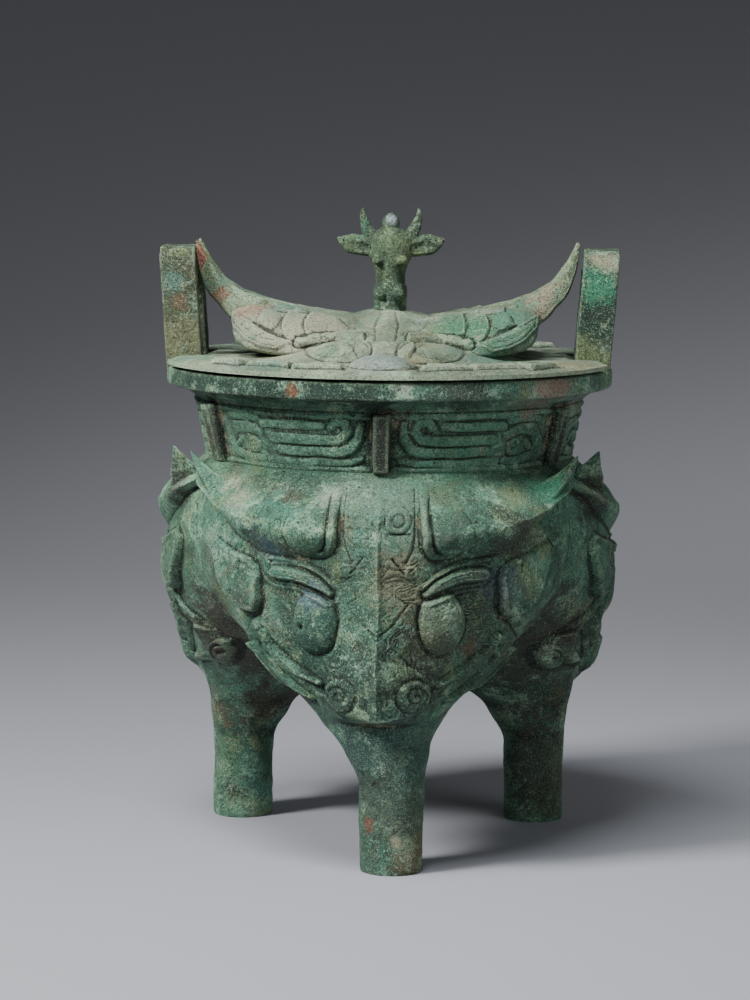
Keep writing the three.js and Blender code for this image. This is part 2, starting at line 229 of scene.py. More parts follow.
def curl(x, z, disc, turns, hand=1):
    """Groove of a spiral that winds into a round boss, as deep as 1."""
    away = np.hypot(x - disc[0], z - disc[1])
    phase = away / disc[2] * turns - hand * np.arctan2(z - disc[1], x - disc[0]) / (2 * np.pi)
    return score(np.mod(phase, 1) - 0.5, 0.17) * within(away - disc[2] + 1, 0.6)


def lumps(points, size, seed):
    """Smooth unevenness between -1 and 1, as large as size, from a fixed table of random heights."""
    table = np.random.default_rng(seed).uniform(-1, 1, (32, 32, 32))
    at = points / size
    cell = np.floor(at).astype(int)
    t = at - cell
    t = t * t * (3 - 2 * t)
    total = 0
    for corner in np.ndindex(2, 2, 2):
        weight = np.prod(np.where(np.array(corner) == 1, t, 1 - t), axis=-1)
        i, j, k = np.moveaxis((cell + corner) % 32, -1, 0)
        total = total + weight * table[i, j, k]
    return total


def cast_skin(points, seed):
    """Unevenness of a cast and long buried skin: slack swells, corrosion lumps and pits."""
    pits = np.clip(lumps(points, 2.6, seed + 2) - 0.45, 0, 1) * (lumps(points, 17, seed + 3) > -0.1)
    return 0.34 * lumps(points, 14, seed) + 0.16 * lumps(points, 4.2, seed + 1) - 0.5 * pits


def places(x, y, z):
    """Points from their three measures, spread to one shape."""
    return np.stack(np.broadcast_arrays(x, y, z), -1)


def set_up(name, data):
    """Puts a mesh, light or camera in the scene under a name."""
    made = bpy.data.objects.new(name, data)
    bpy.context.scene.collection.objects.link(made)
    return made


def shell(name, rows, ring=False):
    """A closed mesh over rows of points that close on themselves; with ring, the last row joins the first."""
    rows = np.asarray(rows, float)
    count, around = rows.shape[:2]
    points = rows.reshape(-1, 3)
    here = np.arange(count * around).reshape(count, around)
    low = here if ring else here[:-1]
    high = np.roll(here, -1, 0) if ring else here[1:]
    quads = np.stack([low, np.roll(low, -1, 1), np.roll(high, -1, 1), high], -1).reshape(-1, 4)
    faces = np.concatenate([quads[:, [0, 1, 2]], quads[:, [0, 2, 3]]])
    if not ring:
        ends = []
        for row, turned in ((here[0], True), (here[-1], False)):
            middle = len(points)
            points = np.vstack([points, points[row].mean(0)])
            fan = np.stack([row, np.roll(row, -1), np.full(around, middle)], -1)
            ends.append(fan[:, ::-1] if turned else fan)
        faces = np.concatenate([faces, *ends])
    a, b, c = (points[faces[:, i]] for i in range(3))
    if np.einsum("ij,ij->i", a, np.cross(b, c)).sum() < 0:
        faces = faces[:, ::-1]
    mesh = bpy.data.meshes.new(name)
    mesh.vertices.add(len(points))
    mesh.vertices.foreach_set("co", points.ravel())
    mesh.loops.add(faces.size)
    mesh.loops.foreach_set("vertex_index", faces.ravel().astype(np.int32))
    mesh.polygons.add(len(faces))
    mesh.polygons.foreach_set("loop_start", np.arange(0, faces.size, 3, dtype=np.int32))
    mesh.update(calc_edges=True)
    return set_up(name, mesh)


def fuse(piece, steps):
    """Works a list of (operation, closed mesh) into one closed piece and removes the meshes used."""
    for operation, tool in steps:
        step = piece.modifiers.new(operation, "BOOLEAN")
        step.operation, step.solver, step.object = operation, "MANIFOLD", tool
    bpy.context.view_layer.update()
    made = bpy.data.meshes.new_from_object(piece.evaluated_get(bpy.context.evaluated_depsgraph_get()))
    piece.modifiers.clear()
    piece.data = made
    for _, tool in steps:
        bpy.data.objects.remove(tool)
    return piece


def hollows(mesh, rounds):
    """How far each point lies below the smoothed surface around it, in the mesh's units."""
    count = len(mesh.vertices)
    points = np.empty(count * 3)
    mesh.vertices.foreach_get("co", points)
    points = points.reshape(-1, 3)
    normals = np.empty(count * 3)
    mesh.vertex_normals.foreach_get("vector", normals)
    ends = np.empty(len(mesh.edges) * 2, np.int32)
    mesh.edges.foreach_get("vertices", ends)
    ends = ends.reshape(-1, 2)
    start, end = np.concatenate([ends, ends[:, ::-1]]).T
    near = np.bincount(start, minlength=count)
    calm = points
    for _ in range(rounds):
        pull = np.stack([np.bincount(start, calm[end, i], count) for i in range(3)], -1) / near[:, None]
        calm = 0.4 * calm + 0.6 * pull
    return np.einsum("ij,ij->i", calm - points, normals.reshape(-1, 3))


def settle(piece, node, finish):
    """Puts a piece made in millimetres about the vessel's axis in its place, with the depths of its hollows,
    which the finish turns into earth and painted shade and into pale worn edges, and with its finish.
    """
    mesh = piece.data
    heights = np.empty(len(mesh.vertices) * 3)
    mesh.vertices.foreach_get("co", heights)
    above_floor = ease(2, 9, heights[2::3])
    for name, rounds, reach in HOLLOWS:
        depth = hollows(mesh, rounds) / reach * above_floor
        mesh.attributes.new(name, "FLOAT", "POINT").data.foreach_set("value", depth.astype(np.float32))
    mesh.transform(Matrix.Scale(MM, 4) @ Matrix.Translation((0, AXIS_Y, 0)))
    mesh.shade_smooth()
    mesh.set_sharp_from_angle(angle=math.radians(CREASE))
    mesh.materials.clear()
    mesh.materials.append(finish)
    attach(piece, "root")
    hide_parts(node)


class Wash:
    """One socket of a finish. Sums of washes add Math nodes."""

    def __init__(self, tree, socket=None):
        self.tree, self.socket = tree, socket

    def node(self, kind, settings=None, sockets=None, out=0):
        """A new node: its kind, then its settings, then the values or links of its sockets."""
        made = self.tree.nodes.new(kind)
        for name, value in (settings or {}).items():
            setattr(made, name, value)
        for name, value in (sockets or {}).items():
            if isinstance(value, Wash):
                self.tree.links.new(value.socket, made.inputs[name])
            else:
                made.inputs[name].default_value = value
        return Wash(self.tree, made.outputs[out]) if made.outputs else made

    def sum_of(self, operation, first, second):
        """A Math node on two values or washes."""
        return self.node("ShaderNodeMath", {"operation": operation}, {0: first, 1: second})

    def __add__(self, other):
        return self.sum_of("ADD", self, other)

    def __radd__(self, other):
        return self.sum_of("ADD", other, self)

    def __sub__(self, other):
        return self.sum_of("SUBTRACT", self, other)

    def __mul__(self, other):
        return self.sum_of("MULTIPLY", self, other)

    def __rmul__(self, other):
        return self.sum_of("MULTIPLY", other, self)

    def step(self, low, high):
        """0 below low and 1 above high, soft between."""
        settings = {"interpolation_type": "SMOOTHSTEP"}
        return self.node("ShaderNodeMapRange", settings, {0: self, 1: low, 2: high})

    def over(self, under, tone):
        """Lays a colour over another, as thick as this wash."""
        return self.node("ShaderNodeMix", {"data_type": "RGBA"}, {0: self, 6: under, 7: tone}, 2)


def paint(red, green, blue):
    """A colour from its everyday 0 to 255 values."""
    tone = [v / 255 for v in (red, green, blue)]
    return [v / 12.92 if v <= 0.04045 else ((v + 0.055) / 1.055) ** 2.4 for v in tone] + [1]


PATCHES = [
    # size of the clouds, how drawn out, where they start, colour, strength
    (21, 1.0, 0.51, (58, 118, 104), 0.6), (29, 0.8, 0.515, (112, 122, 76), 0.6),
    (37, 0.6, 0.53, (84, 70, 54), 0.6), (33, 0.9, 0.525, (154, 184, 156), 0.6),
    (26, 1.2, 0.52, (38, 50, 42), 0.8),
]
# Near black: earth in the hollows, with painted shade there as well.
EARTH_AND_SHADE = (22, 29, 23)
CRUST = (150, 142, 112)
WORN_EDGE = (168, 186, 156)
DARK_PEPPER = (20, 30, 24)
PALE_PEPPER = (166, 194, 164)
DARK_SPECK = (22, 32, 26)
PALE_SPECK = (176, 198, 172)
SKIN_SHEEN = 0.3
BUMP_STRENGTH = 0.95
BUMP_HEIGHT = 0.0046


def bronze(name, tones, stains_and_painted_light=(), crust=0.5, wear=0.24):
    """Patina of a long buried casting: clouds of green over dark oxide, earth and painted shade in hollows,
    pale worn edges.

    tones are deep, mid and pale greens, and stains are (x, y, z, radius, colour, strength) in the CAD frame;
    some of them are painted shade or a painted highlight rather than stains.
    """
    finish = bpy.data.materials.new(name)
    finish.use_nodes = True
    tree = finish.node_tree
    tree.nodes.clear()
    wash = Wash(tree)
    place = wash.node("ShaderNodeTexCoord", out=3)

    def cloud(scale, detail, coarse, warp=0.0):
        return wash.node("ShaderNodeTexNoise", None, {
            "Vector": place, "Scale": scale, "Detail": detail, "Roughness": coarse, "Distortion": warp})

    # Reads a hollow depth from settle, which gives earth and painted shade in hollows, crust and worn edges.
    def worn(attribute):
        return wash.node("ShaderNodeAttribute", {"attribute_name": attribute}, None, 2)

    fine, broad = worn("fine"), worn("broad")
    drift = cloud(15, 5, 0.6, 0.6)
    blotch = cloud(55, 8, 0.72, 0.8)
    mottle = cloud(180, 7, 0.76, 0.5)
    grain = cloud(640, 5, 0.76)
    speck = cloud(1500, 3, 0.7)
    deep, mid, pale = (paint(*tone) for tone in tones)

    tone = (0.4 * drift + 0.3 * blotch + 0.15 * mottle + 0.15 * grain).step(0.43, 0.54).over(deep, mid)
    bloom = 0.3 * drift + 0.3 * blotch + 0.2 * mottle + 0.2 * grain
    tone = (bloom.step(0.515, 0.595) * 0.85).over(tone, pale)
    for scale, warp, low, colour, strength in PATCHES:
        patch = 0.5 * cloud(scale, 7, 0.68, warp) + 0.2 * blotch + 0.15 * mottle + 0.15 * grain
        tone = (patch.step(low, low + 0.06) * strength).over(tone, paint(*colour))
    ragged = (mottle - 0.5) * 3.0 + (blotch - 0.5) * 2.4 + (grain - 0.5) * 1.2
    # Lays each spot: patina stains, and painted shade or painted highlights where a spot stands for light.
    for x, y, z, radius, colour, strength in stains_and_painted_light:
        middle = (x * MM, y * MM, z * MM)
        away = wash.node("ShaderNodeVectorMath", {"operation": "DISTANCE"}, {0: place, 1: middle}, 1)
        edge = away * (1 / (radius * MM)) + ragged
        tone = (edge.step(1.25, 0.45) * strength).over(tone, paint(*colour))
    # Earth lies in the hollows and is darkened past its own colour as painted shade in the recesses.
    earth_and_shade = (broad * 0.6 + fine * 0.4 + (mottle - 0.5) * 1.2).step(0.04, 0.9)
    tone = (earth_and_shade * 0.88).over(tone, paint(*EARTH_AND_SHADE))
    tone = ((broad * 0.7 + (blotch - 0.5) * 4).step(0.5, 1.2) * crust).over(tone, paint(*CRUST))
    proud = broad * -0.3 + fine * -0.3 + (grain - 0.5) * 2.6
    tone = (proud.step(0.35, 1.2) * wear).over(tone, paint(*WORN_EDGE))
    pepper = 0.5 * grain + 0.35 * speck + 0.15 * mottle
    tone = (pepper.step(0.49, 0.39) * 0.85).over(tone, paint(*DARK_PEPPER))
    tone = ((pepper + (blotch - 0.5) * 0.3).step(0.53, 0.62) * 0.45).over(tone, paint(*PALE_PEPPER))
    tone = (speck.step(0.5, 0.34) * 0.55).over(tone, paint(*DARK_SPECK))
    tone = (speck.step(0.55, 0.70) * 0.4).over(tone, paint(*PALE_SPECK))

    rough = 0.56 + (mottle - 0.5) * 0.7 - (drift - 0.5) * 0.4 + earth_and_shade * 0.2
    bare = cloud(21, 5, 0.6, 0.5).step(0.5, 0.64) * 0.15
    rise = mottle * 0.45 + grain * 0.4 + speck * 0.15
    relief = wash.node("ShaderNodeBump", None, {
        "Strength": BUMP_STRENGTH, "Distance": BUMP_HEIGHT, "Height": rise})
    skin = wash.node("ShaderNodeBsdfPrincipled", None, {
        "Base Color": tone, "Roughness": rough, "Metallic": bare, "Normal": relief,
        "Specular IOR Level": SKIN_SHEEN})
    wash.node("ShaderNodeOutputMaterial", None, {"Surface": skin})
    return finish


def pouch_point(z, side, out=0.0):
    """Across and forward places of the pouch skin at a height and angle from its front, out off the skin."""
    half = read(POUCH, z, 2)
    reach = half + out
    return reach * np.sin(side), read(POUCH, z, 1) - half + reach * np.cos(side)


def face_to(mask, across, forward, z):
    """Turns a place of the front mask to mask number mask, about the vessel's axis."""
    turn = math.radians(mask * MASK_STEP - 90)
    x = forward * math.cos(turn) - across * math.sin(turn)
    y = forward * math.sin(turn) + across * math.cos(turn)
    return places(x, y, z)


def scrollwork(x, z):
    """Worn winding lines that fill the ground of the mask."""
    hand = places(x, z, 0.0)
    wind = 1.7 * lumps(hand, 11, 45) + 1.1 * lumps(hand, 6, 46) + 0.9 * lumps(hand, 23, 47)
    return score(np.mod(wind * 2.2, 1) - 0.5, 0.2)


def keel(ax, z):
    """The low field of the face and the keel that runs down its middle to the snout."""
    lift = FACE_LIFT * within(shape_gap(ax, z, FACE), 1.5) * (1 - ease(*FACE_FADE, z))
    roof = np.clip(1 - ax / KEEL_HALF, 0, 1) ** 1.05
    lift += KEEL_LIFT * roof * ease(*KEEL_FOOT, z) * (1 - ease(*KEEL_HEAD, z))
    lift += SNOUT_LIFT * np.sqrt(np.clip(1 - oval_share(ax, z, SNOUT) ** 2, 0, 1)) * ease(*SNOUT_FOOT, z)
    edge = np.clip(1 - ax / KEEL_EDGE_HALF, 0, 1)
    return lift + KEEL_EDGE_LIFT * edge * ease(*KEEL_EDGE_FOOT, z) * (1 - ease(*KEEL_EDGE_HEAD, z))


def face_lines(x, z):
    """Depth of the lines cut in the face: worn scrolls, diamond and arcs, with bricks and rings above."""
    ax = np.abs(x)
    ground = within(shape_gap(ax, z, FACE), 1.5) * ease(*SCROLL_FOOT, z)
    ground = ground + ease(*BRIDGE_FOOT, z) * within(ax - BRIDGE_HALF, 3)
    cut = SCROLL_DEPTH * scrollwork(ax, z) * np.clip(ground, 0, 1) * (1 - ease(*SCROLL_HEAD, z))
    for depth, half, line in FACE_LINES:
        cut += depth * score(line_gap(ax, z, line), half)
    course = z - BRICK_FOOT
    bed = score(np.mod(course, BRICK_RISE) - BRICK_RISE / 2, 0.5) * within(ax - 16, 0.8)
    shifted = ax + BRICK_WIDE / 2 * (np.mod(course, 2 * BRICK_RISE) > BRICK_RISE)
    bricks = np.maximum(bed, score(np.mod(shifted, BRICK_WIDE) - BRICK_WIDE / 2, 0.5))
    bricks = bricks * ease(*BRICK_FROM, z) * (1 - ease(*BRICK_TO, z)) * within(ax - FOREHEAD_HALF, 0.6)
    cut += BRICK_DEPTH * np.where(x < 0, bricks, 0)
    away = disc_gap(x, z, FOREHEAD_RING)
    rings = score(away - RING_SIZES[0], 0.7) + score(away - RING_SIZES[1], LINE)
    bar_x, bar_z, bar_half = FOREHEAD_BAR
    rings += score(z - bar_z, LINE) * within(np.abs(x - bar_x) - bar_half, 0.8)
    return cut + RING_CUT * np.where(x > 0, rings, 0)


def mouth(ax, z, kept):
    """The two lips, the slit between them and the curled nostrils."""
    lip = line_gap(ax, z, UPPER_LIP)
    lift = UPPER_LIP_LIFT * within(lip, 1.2)
    lift -= 0.8 * kept * score(lip - 1.6, 0.7) * np.where(z > ax * 0.62 + 76, 1, 0)
    lift += LOWER_LIP_LIFT * within(line_gap(ax, z, LOWER_LIP), 1.2)
    lift -= MOUTH_DEPTH * within(line_gap(ax, z, MOUTH), 0.9)
    boss = disc_gap(ax, z, NOSTRIL)
    lift += (NOSTRIL_LIFT * within(boss, 1.3) - 0.6 * score(boss - 1.4, 0.9)) * ease(80, 84, z)
    return lift - 0.75 * kept * curl(ax, z, NOSTRIL, 2.1, -1)


def eye_and_brow(lift, x, z, mask, kept):
    """Sets the domed eye in its socket and the banded brow over it into the relief so far."""
    ax = np.abs(x)
    away = oval_share(ax, z, EYE)
    socket = within((away - 1.12) * EYE_MEAN_R, 1.6)
    lift = lift * (1 - 0.6 * socket) + SOCKET_FLOOR * socket
    lift += EYE_LIFT * np.clip(1 - away ** 2.4, 0, 1) ** 0.62 - 0.4 * score((away - 1.07) * EYE_MEAN_R, 0.9)
    if mask == 0:
        lift -= PUPIL_DEPTH * score(np.hypot(x - PUPIL[0], z - PUPIL[1]), 1.4)
    rim, band = line_gap(ax, z, BROW_RIM), line_gap(ax, z, BROW_BAND)
    inward = 0.5 + 0.5 * ease(18, 30, ax)
    field = within(band - 2.8, 1)
    lift = lift * (1 - field) + BROW_FIELD * field
    bars = BROW_LIFT * within(band, 0.9) - 1.5 * score(band - 1.6, 0.9) + 1.8 * within(rim - 0.9, 0.9)
    lift += bars * inward
    lift += 1.2 * score(band - 4.4, 0.9) * np.where(z < 150, 1, 0) * inward
    lift -= 0.4 * kept * score(band + 1.6, 0.55) * ease(26, 34, ax)
    return lift - 1.7 * score(line_gap(ax, z, BROW_END), 1.0)


def ear_leaf(lift, ax, z, kept):
    """Lays the leaf-shaped ear, which stands out most at its lower end, over the relief so far."""
    gap = shape_gap(ax, z, EAR)
    leaf = (EAR_FLAT + EAR_LIFT * (1 - ease(*EAR_FADE, z))) * within(gap, 0.8) + 0.7 * score(gap + 1.6, 1.0)
    leaf -= 0.8 * kept * score(line_gap(ax, z, EAR_FOLD), 0.7)
    lift = lift - 0.9 * score(gap - 1.5, 0.9) * (1 - ease(140, 152, z))
    return np.where(gap < 0.8, np.maximum(lift, leaf), lift)


def horn_root(lift, ax, z, mask, kept):
    """Lays the broad root of the horn over the relief: a ridged prow, a bulb and a rolled inner edge."""
    edge = np.interp(ax, *zip(*HORN_EDGE[4:]))
    crest = np.interp(ax, *zip(*HORN_CREST))
    climb = np.clip((z - edge) / (crest - edge), 0, 1)
    facet = HORN_EDGE_LIFT + (HORN_LIFT[mask] - HORN_EDGE_LIFT) * np.sin(climb * np.pi / 2) ** 1.2
    roof = HORN_LIFT[mask] * (1 - ease(-4, 27, z - crest))
    prow = np.where(z < crest, facet, roof) * (1 - ease(89, 98, ax))
    prow = prow - 1.6 * (1 - ease(36, 46, ax)) * (1 - ease(184, 196, z))
    bulb = oval_share(ax, z, BULB)
    prow += BULB_LIFT * np.clip(1 - bulb ** 2, 0, 1) ** 0.7 - 0.5 * kept * score((bulb - 1.02) * 11, 0.8)
    inner = line_gap(ax, z, HORN_EDGE[:5])
    roll = (1 - ease(28, 34, ax)) * (1 - ease(187, 195, z))
    prow += (1.2 * score(inner - 2.0, 1.5) - 2.0 * score(inner - 4.6, 0.9)) * roll
    bow = RING_BOW * (z - RING_MIDDLE) ** 2
    for ring_x in HORN_RINGS[mask]:
        prow -= RING_DEPTH[mask] * kept * score(ax - ring_x + bow, LINE) * ease(2, 5, z - edge)
    inside = ease(-0.6, 0.6, -shape_gap(ax, z, HORN_EDGE + HORN_CLOSE))
    open_top = (1 - ease(186, 197, z)) + ease(26, 36, ax) * ease(186, 197, z)
    inside = inside * np.clip(open_top, 0, 1)
    return lift * (1 - inside) + np.maximum(prow, lift * 0.25) * inside


def mask_relief(x, z, mask):
    """How far the ox mask stands off the pouch at x across and z up, in the mask's own front plane."""
    x = x * (1 + FLAT_LIFT / read(POUCH, z, 2))
    hand = places(x, z, mask * 50.0)
    x = x + 0.7 * lumps(hand, 21, 40) + 0.3 * lumps(hand, 6, 42)
    z = z + 0.7 * lumps(hand, 23, 41) + 0.3 * lumps(hand, 6, 43)
    kept = np.clip(0.8 + 0.55 * lumps(hand, 16, 44), 0.15, 1.3)
    ax = np.abs(x)
    knop = disc_gap(ax, z, FOREHEAD_CURL)
    lift = keel(ax, z) - kept * face_lines(x, z)
    lift += 1.2 * within(knop, 0.8) - 0.6 * score(knop + 2.2, LINE)
    lift = eye_and_brow(lift + mouth(ax, z, kept), x, z, mask, kept)
    return horn_root(ear_leaf(lift, ax, z, kept), ax, z, mask, kept)


def mask_horn_tip(mask, side):
    """The free end of a mask's horn, which stands up past the shoulder and is ridged in front."""
    along = np.linspace(0, HORN_TIP[-1, 0], 90)
    ridge_x, ridge_z, low_x, low_z, top_x, top_z = (read(HORN_TIP, along, i) for i in range(1, 7))
    free = ease(0.6, 3.0, along)
    ridge_x, low_x, top_x = (v * (1 - TIP_IN[mask] * free) for v in (ridge_x, low_x, top_x))
    size = np.minimum(1, (top_z - low_z) / 12)

    def spot(x, z, lift, depth):
        """A place on the horn: on the pouch where it starts, and at the tip's own radius where it is free."""
        lean = np.arcsin(np.clip(x / (read(POUCH, z, 2) + FLAT_LIFT), -0.995, 0.995))
        across, forward = pouch_point(z, lean, lift)
        radius = HORN_TIP_R - depth * size
        loose = np.sqrt(np.clip(radius ** 2 - x ** 2, 1, None))
        return across + (x - across) * free, forward + (loose - forward) * free, z

    sunk = -3 + 3 * ease(0, 1.2, along)
    ridge = spot(ridge_x, ridge_z, HORN_LIFT[mask] + sunk, 0)
    lower = spot(low_x, low_z, 1 + sunk, TIP_LOWER_IN)
    upper = spot(top_x, top_z, sunk, TIP_UPPER_IN)
    back = spot((low_x + top_x) / 2, (low_z + top_z) / 2, sunk - 3, TIP_BACK_IN)
    ring = []
    for start, end in ((ridge, upper), (upper, back), (back, lower), (lower, ridge)):
        ring += [[a + (b - a) * t for a, b in zip(start, end)] for t in np.arange(0, 1, 0.125)]
    ring = np.array(ring).transpose(2, 0, 1)
    for _ in range(2):
        ring = 0.5 * ring + 0.25 * (np.roll(ring, 1, 1) + np.roll(ring, -1, 1))
    return shell("horn_tip", face_to(mask, side * ring[..., 0], ring[..., 1], ring[..., 2]))


def pouch_room(mask):
    """The hollow of one pouch, a wall's thickness in, rounded over the solid leg."""
    bowl = ROOM_FLOOR + ROOM_BOWL * np.linspace(0, 1, 9) ** 2
    z = np.concatenate([bowl, np.linspace(98, POUCH_TOP + 6, 26)])[:, None]
    side = np.linspace(0, 2 * np.pi, 120, endpoint=False)[None]
    half = read(POUCH, z, 2)
    room = (half - WALL) * np.sqrt(np.clip((z - ROOM_FLOOR + 0.6) / ROOM_BOWL, 0, 1))
    forward = read(POUCH, z, 1) - half + room * np.cos(side)
    return shell("room", face_to(mask, room * np.sin(side), forward, z))


def pouch_share(mask):
    """The third of the pot that belongs to one mask, as a wedge from the axis out."""
    side = math.radians(MASK_STEP / 2)
    far = 260
    corners = [(0, 0), (-far * math.sin(side), far * math.cos(side)), (0, 2 * far),
               (far * math.sin(side), far * math.cos(side))]
    across, forward = np.array(corners, float).T
    ends = (-5.0, POUCH_TOP - 0.5)
    return shell("share", [face_to(mask, across, forward, z) for z in ends])


pot_finish = bronze(
    "pot_patina", ((46, 80, 64), (78, 124, 100), (128, 170, 140)),
    [
        (0, -98, 182, 28, (140, 168, 142), 0.35),
        (-66, -82, 182, 11, (172, 180, 152), 0.55),
        (-42, -96, 187, 7, (92, 82, 64), 0.55),
        (-74, -70, 190, 7, (206, 204, 178), 0.6),
        (-58, -82, 193, 9, (54, 78, 60), 0.7),
        (-34, -96, 193, 8, (50, 74, 58), 0.6),
        (-62, -84, 186, 5, (58, 54, 42), 0.7),
        (-54, -92, 180, 6, (70, 66, 50), 0.55),
        (-24, -100, 188, 7, (176, 190, 166), 0.5),
        (30, -98, 189, 10, (84, 92, 62), 0.5),
        (40, -100, 128, 42, (80, 76, 62), 0.3),
        # Painted shade over dark patina on the lower facet of the left horn.
        (-45, -102, 168, 9, (40, 42, 40), 0.75),
        (-29, -108, 172, 8, (92, 150, 112), 0.6),
        # This and the next: painted shade over dark patina on the horns' lower facets.
        (-60, -95, 168, 11, (46, 56, 60), 0.8),
        (62, -93, 169, 14, (50, 50, 44), 0.7),
        (84, -70, 190, 13, (70, 148, 110), 0.6),
        (64, -84, 186, 9, (128, 136, 94), 0.5),
        (-107, -32, 190, 15, (52, 46, 38), 0.85),
        (107, -32, 188, 15, (42, 42, 36), 0.8),
        (-106, -22, 148, 30, (52, 80, 58), 0.7),
        (-16, -112, 100, 26, (30, 58, 50), 0.9),
        (-38, -104, 179, 5, (120, 104, 106), 0.7),
        (10, -121, 150, 16, (124, 122, 96), 0.75),
        (22, -112, 118, 15, (70, 62, 50), 0.6),
        (44, -98, 118, 6, (112, 66, 40), 0.5),
        (-32, -113, 141, 9, (92, 108, 128), 0.5),
        (-30, -108, 124, 15, (28, 74, 60), 0.8),
        # Painted shade: darkens the right of the face, which the top light leaves too bright.
        (33, -110, 130, 12, (82, 102, 78), 0.7),
        (-52, -100, 165, 8, (66, 88, 116), 0.45),
        (58, -92, 148, 13, (64, 80, 98), 0.5),
        # Painted shade: darkens the right of the snout, which the top light leaves too bright.
        (16, -108, 98, 18, (50, 52, 46), 0.75),
        (-80, -38, 116, 26, (58, 48, 38), 0.9),
        (-96, -16, 108, 20, (66, 54, 42), 0.75),
        (80, -38, 116, 27, (50, 50, 42), 0.85),
        (96, -16, 108, 20, (60, 54, 44), 0.7),
        (-70, -8, 92, 22, (60, 48, 38), 0.85),
        (70, -8, 92, 24, (52, 48, 40), 0.8),
        (-62, 26, 70, 20, (70, 52, 38), 0.7),
        (-88, 38, 60, 9, (120, 84, 54), 0.5),
        (-94, 36, 30, 14, (74, 112, 78), 0.5),
        (0, -100, 58, 30, (46, 72, 70), 0.7),
        (8, -98, 34, 22, (58, 74, 60), 0.65),
        (-6, -101, 25, 4, (120, 66, 48), 0.7),
        (10, -102, 17, 4, (176, 170, 142), 0.6),
        (18, -98, 8, 12, (112, 84, 54), 0.5),
        (78, 44, 76, 30, (58, 56, 46), 0.75),
        (88, 40, 30, 26, (66, 64, 52), 0.7),
    ])

for mask, name in enumerate(MASK_NAMES):
    front = np.arange(-FACE_HALF, FACE_HALF + 0.01, FACE_STEP[mask])
    back = np.arange(FACE_HALF + BACK_STEP, 360 - FACE_HALF - 3, BACK_STEP)
    side = np.radians(np.concatenate([front, back]))
    leg = np.arange(0, FACE_FOOT, LEG_RISE)
    heights = np.concatenate([leg, np.arange(FACE_FOOT, POUCH_TOP + 1, FACE_RISE[mask])])
    side, z = np.meshgrid(side, heights)
    across, forward = pouch_point(z, side)
    skin_at = face_to(mask, across, forward, z)
    facing = ease(-0.05, 0.25, np.cos(side))
    lift = mask_relief(np.where(np.cos(side) > 0, across, 200), z, mask) * facing
    foot_round = -FOOT_ROUND * (1 - np.clip(z / LEG_RISE, 0, 1)) ** 2
    arc = read(POUCH, z, 2) * (np.abs(np.angle(np.exp(1j * side))) - math.radians(MOUTH_CURL[0]))
    corner = (0, *MOUTH_CURL[1:])
    boss = CURL_LIFT * within(disc_gap(arc, z, corner), 1.8) - 1.7 * curl(arc, z, corner, 1.6)
    lift = np.maximum(lift, boss)
    rough_cast = 1 + 0.6 * (1 - ease(70, 110, z)) + 1.2 * ease(164, 182, z)
    lift = lift + (cast_skin(skin_at, 7 + 10 * mask) * rough_cast + foot_round) * np.where(z == 0, 0.3, 1)
    across, forward = pouch_point(z, side, lift)
    across = across + FOOT_DRIFT[mask] * ease(0, DRIFT_TOP / 2, DRIFT_TOP - z)
    pouch = shell(name, face_to(mask, across, forward, z))
    fuse(pouch, [
        ("DIFFERENCE", pouch_room(mask)),
        ("INTERSECT", pouch_share(mask)),
        ("UNION", mask_horn_tip(mask, -1)),
        ("UNION", mask_horn_tip(mask, 1)),
    ])
    settle(pouch, "vessel", pot_finish)


# The neck: a collar that flares a little under a broad flat lip, cast in one with the pot.
# Its band of one-legged dragons is in low relief, between two raised lines, parted by six short flanges.
NECK_R = 98
NECK_LOW = (94.2, 199)
NECK_HIGH = (100.8, 231.8)
MOUTH_R = 94
MOUTH_Z = 248
LINES_Z = (203, 230)
LIP = [(100.8, 231.8), (103, 234.2), (107.5, 237), (112, 238.6), (115.2, 238.9), (115.9, 239.6), (116, 241),
       (116, 246), (115.8, 247.2), (115, 247.9), (112, 248.3), (105, 249.2), (97, 250.2), (94.9, 250.5),
       (94.2, 250.2), (94, 249.4)]
FLANGE_HALF = 4.1
FLANGE_OUT = 6.5
FLANGE_Z = (201.5, 231.5)
DRAGON_OUT = 1.5
DRAGON = [
    # strips of the body, tail, fill and head: along from the mask's flange, height, half width
    [(58, 217.4, 2.3), (30, 217, 2.4), (21, 218, 2.2), (16.8, 222, 2), (18.5, 226.6, 1.8), (23.5, 227, 1.8),
     (25.5, 224, 1.6)],
    [(54, 211.6, 2.2), (24, 211.3, 2.3), (15.5, 213.5, 2.2), (11.4, 218.5, 2), (10.6, 226, 1.6)],
    [(64, 224.6, 1.8), (48, 224.4, 2.1), (31, 224.8, 1.7)],
    [(62, 206.3, 1.5), (40, 206, 1.8), (19, 206.3, 1.6), (10, 208, 1.2)],
    [(66, 219.5, 2), (74, 222.5, 2.6), (84, 221.5, 3), (90, 215, 3), (86, 208.5, 2.4), (76, 206.4, 2),
     (66, 206.4, 1.4)],
    [(67, 227, 1.3), (78, 227.4, 1.8), (88, 226.5, 1.5)],
    [(80, 215.5, 1.4), (83.5, 213, 1.4)],
]
DRAGON_EYE = (71.5, 213.4, 4)
FLANGE_FRONTS = [(0, -101), (-89, -48), (89, -48)]
# Heights of the dark spots on the flanges: painted shade together with dark patina.
FLANGE_SHADE_AND_PATINA_Z = (204, 212, 220, 228)
LIP_DARK = [(-104, -44), (-92, -66), (-76, -84), (-58, -97), (-26, -108), (-6, -111)]


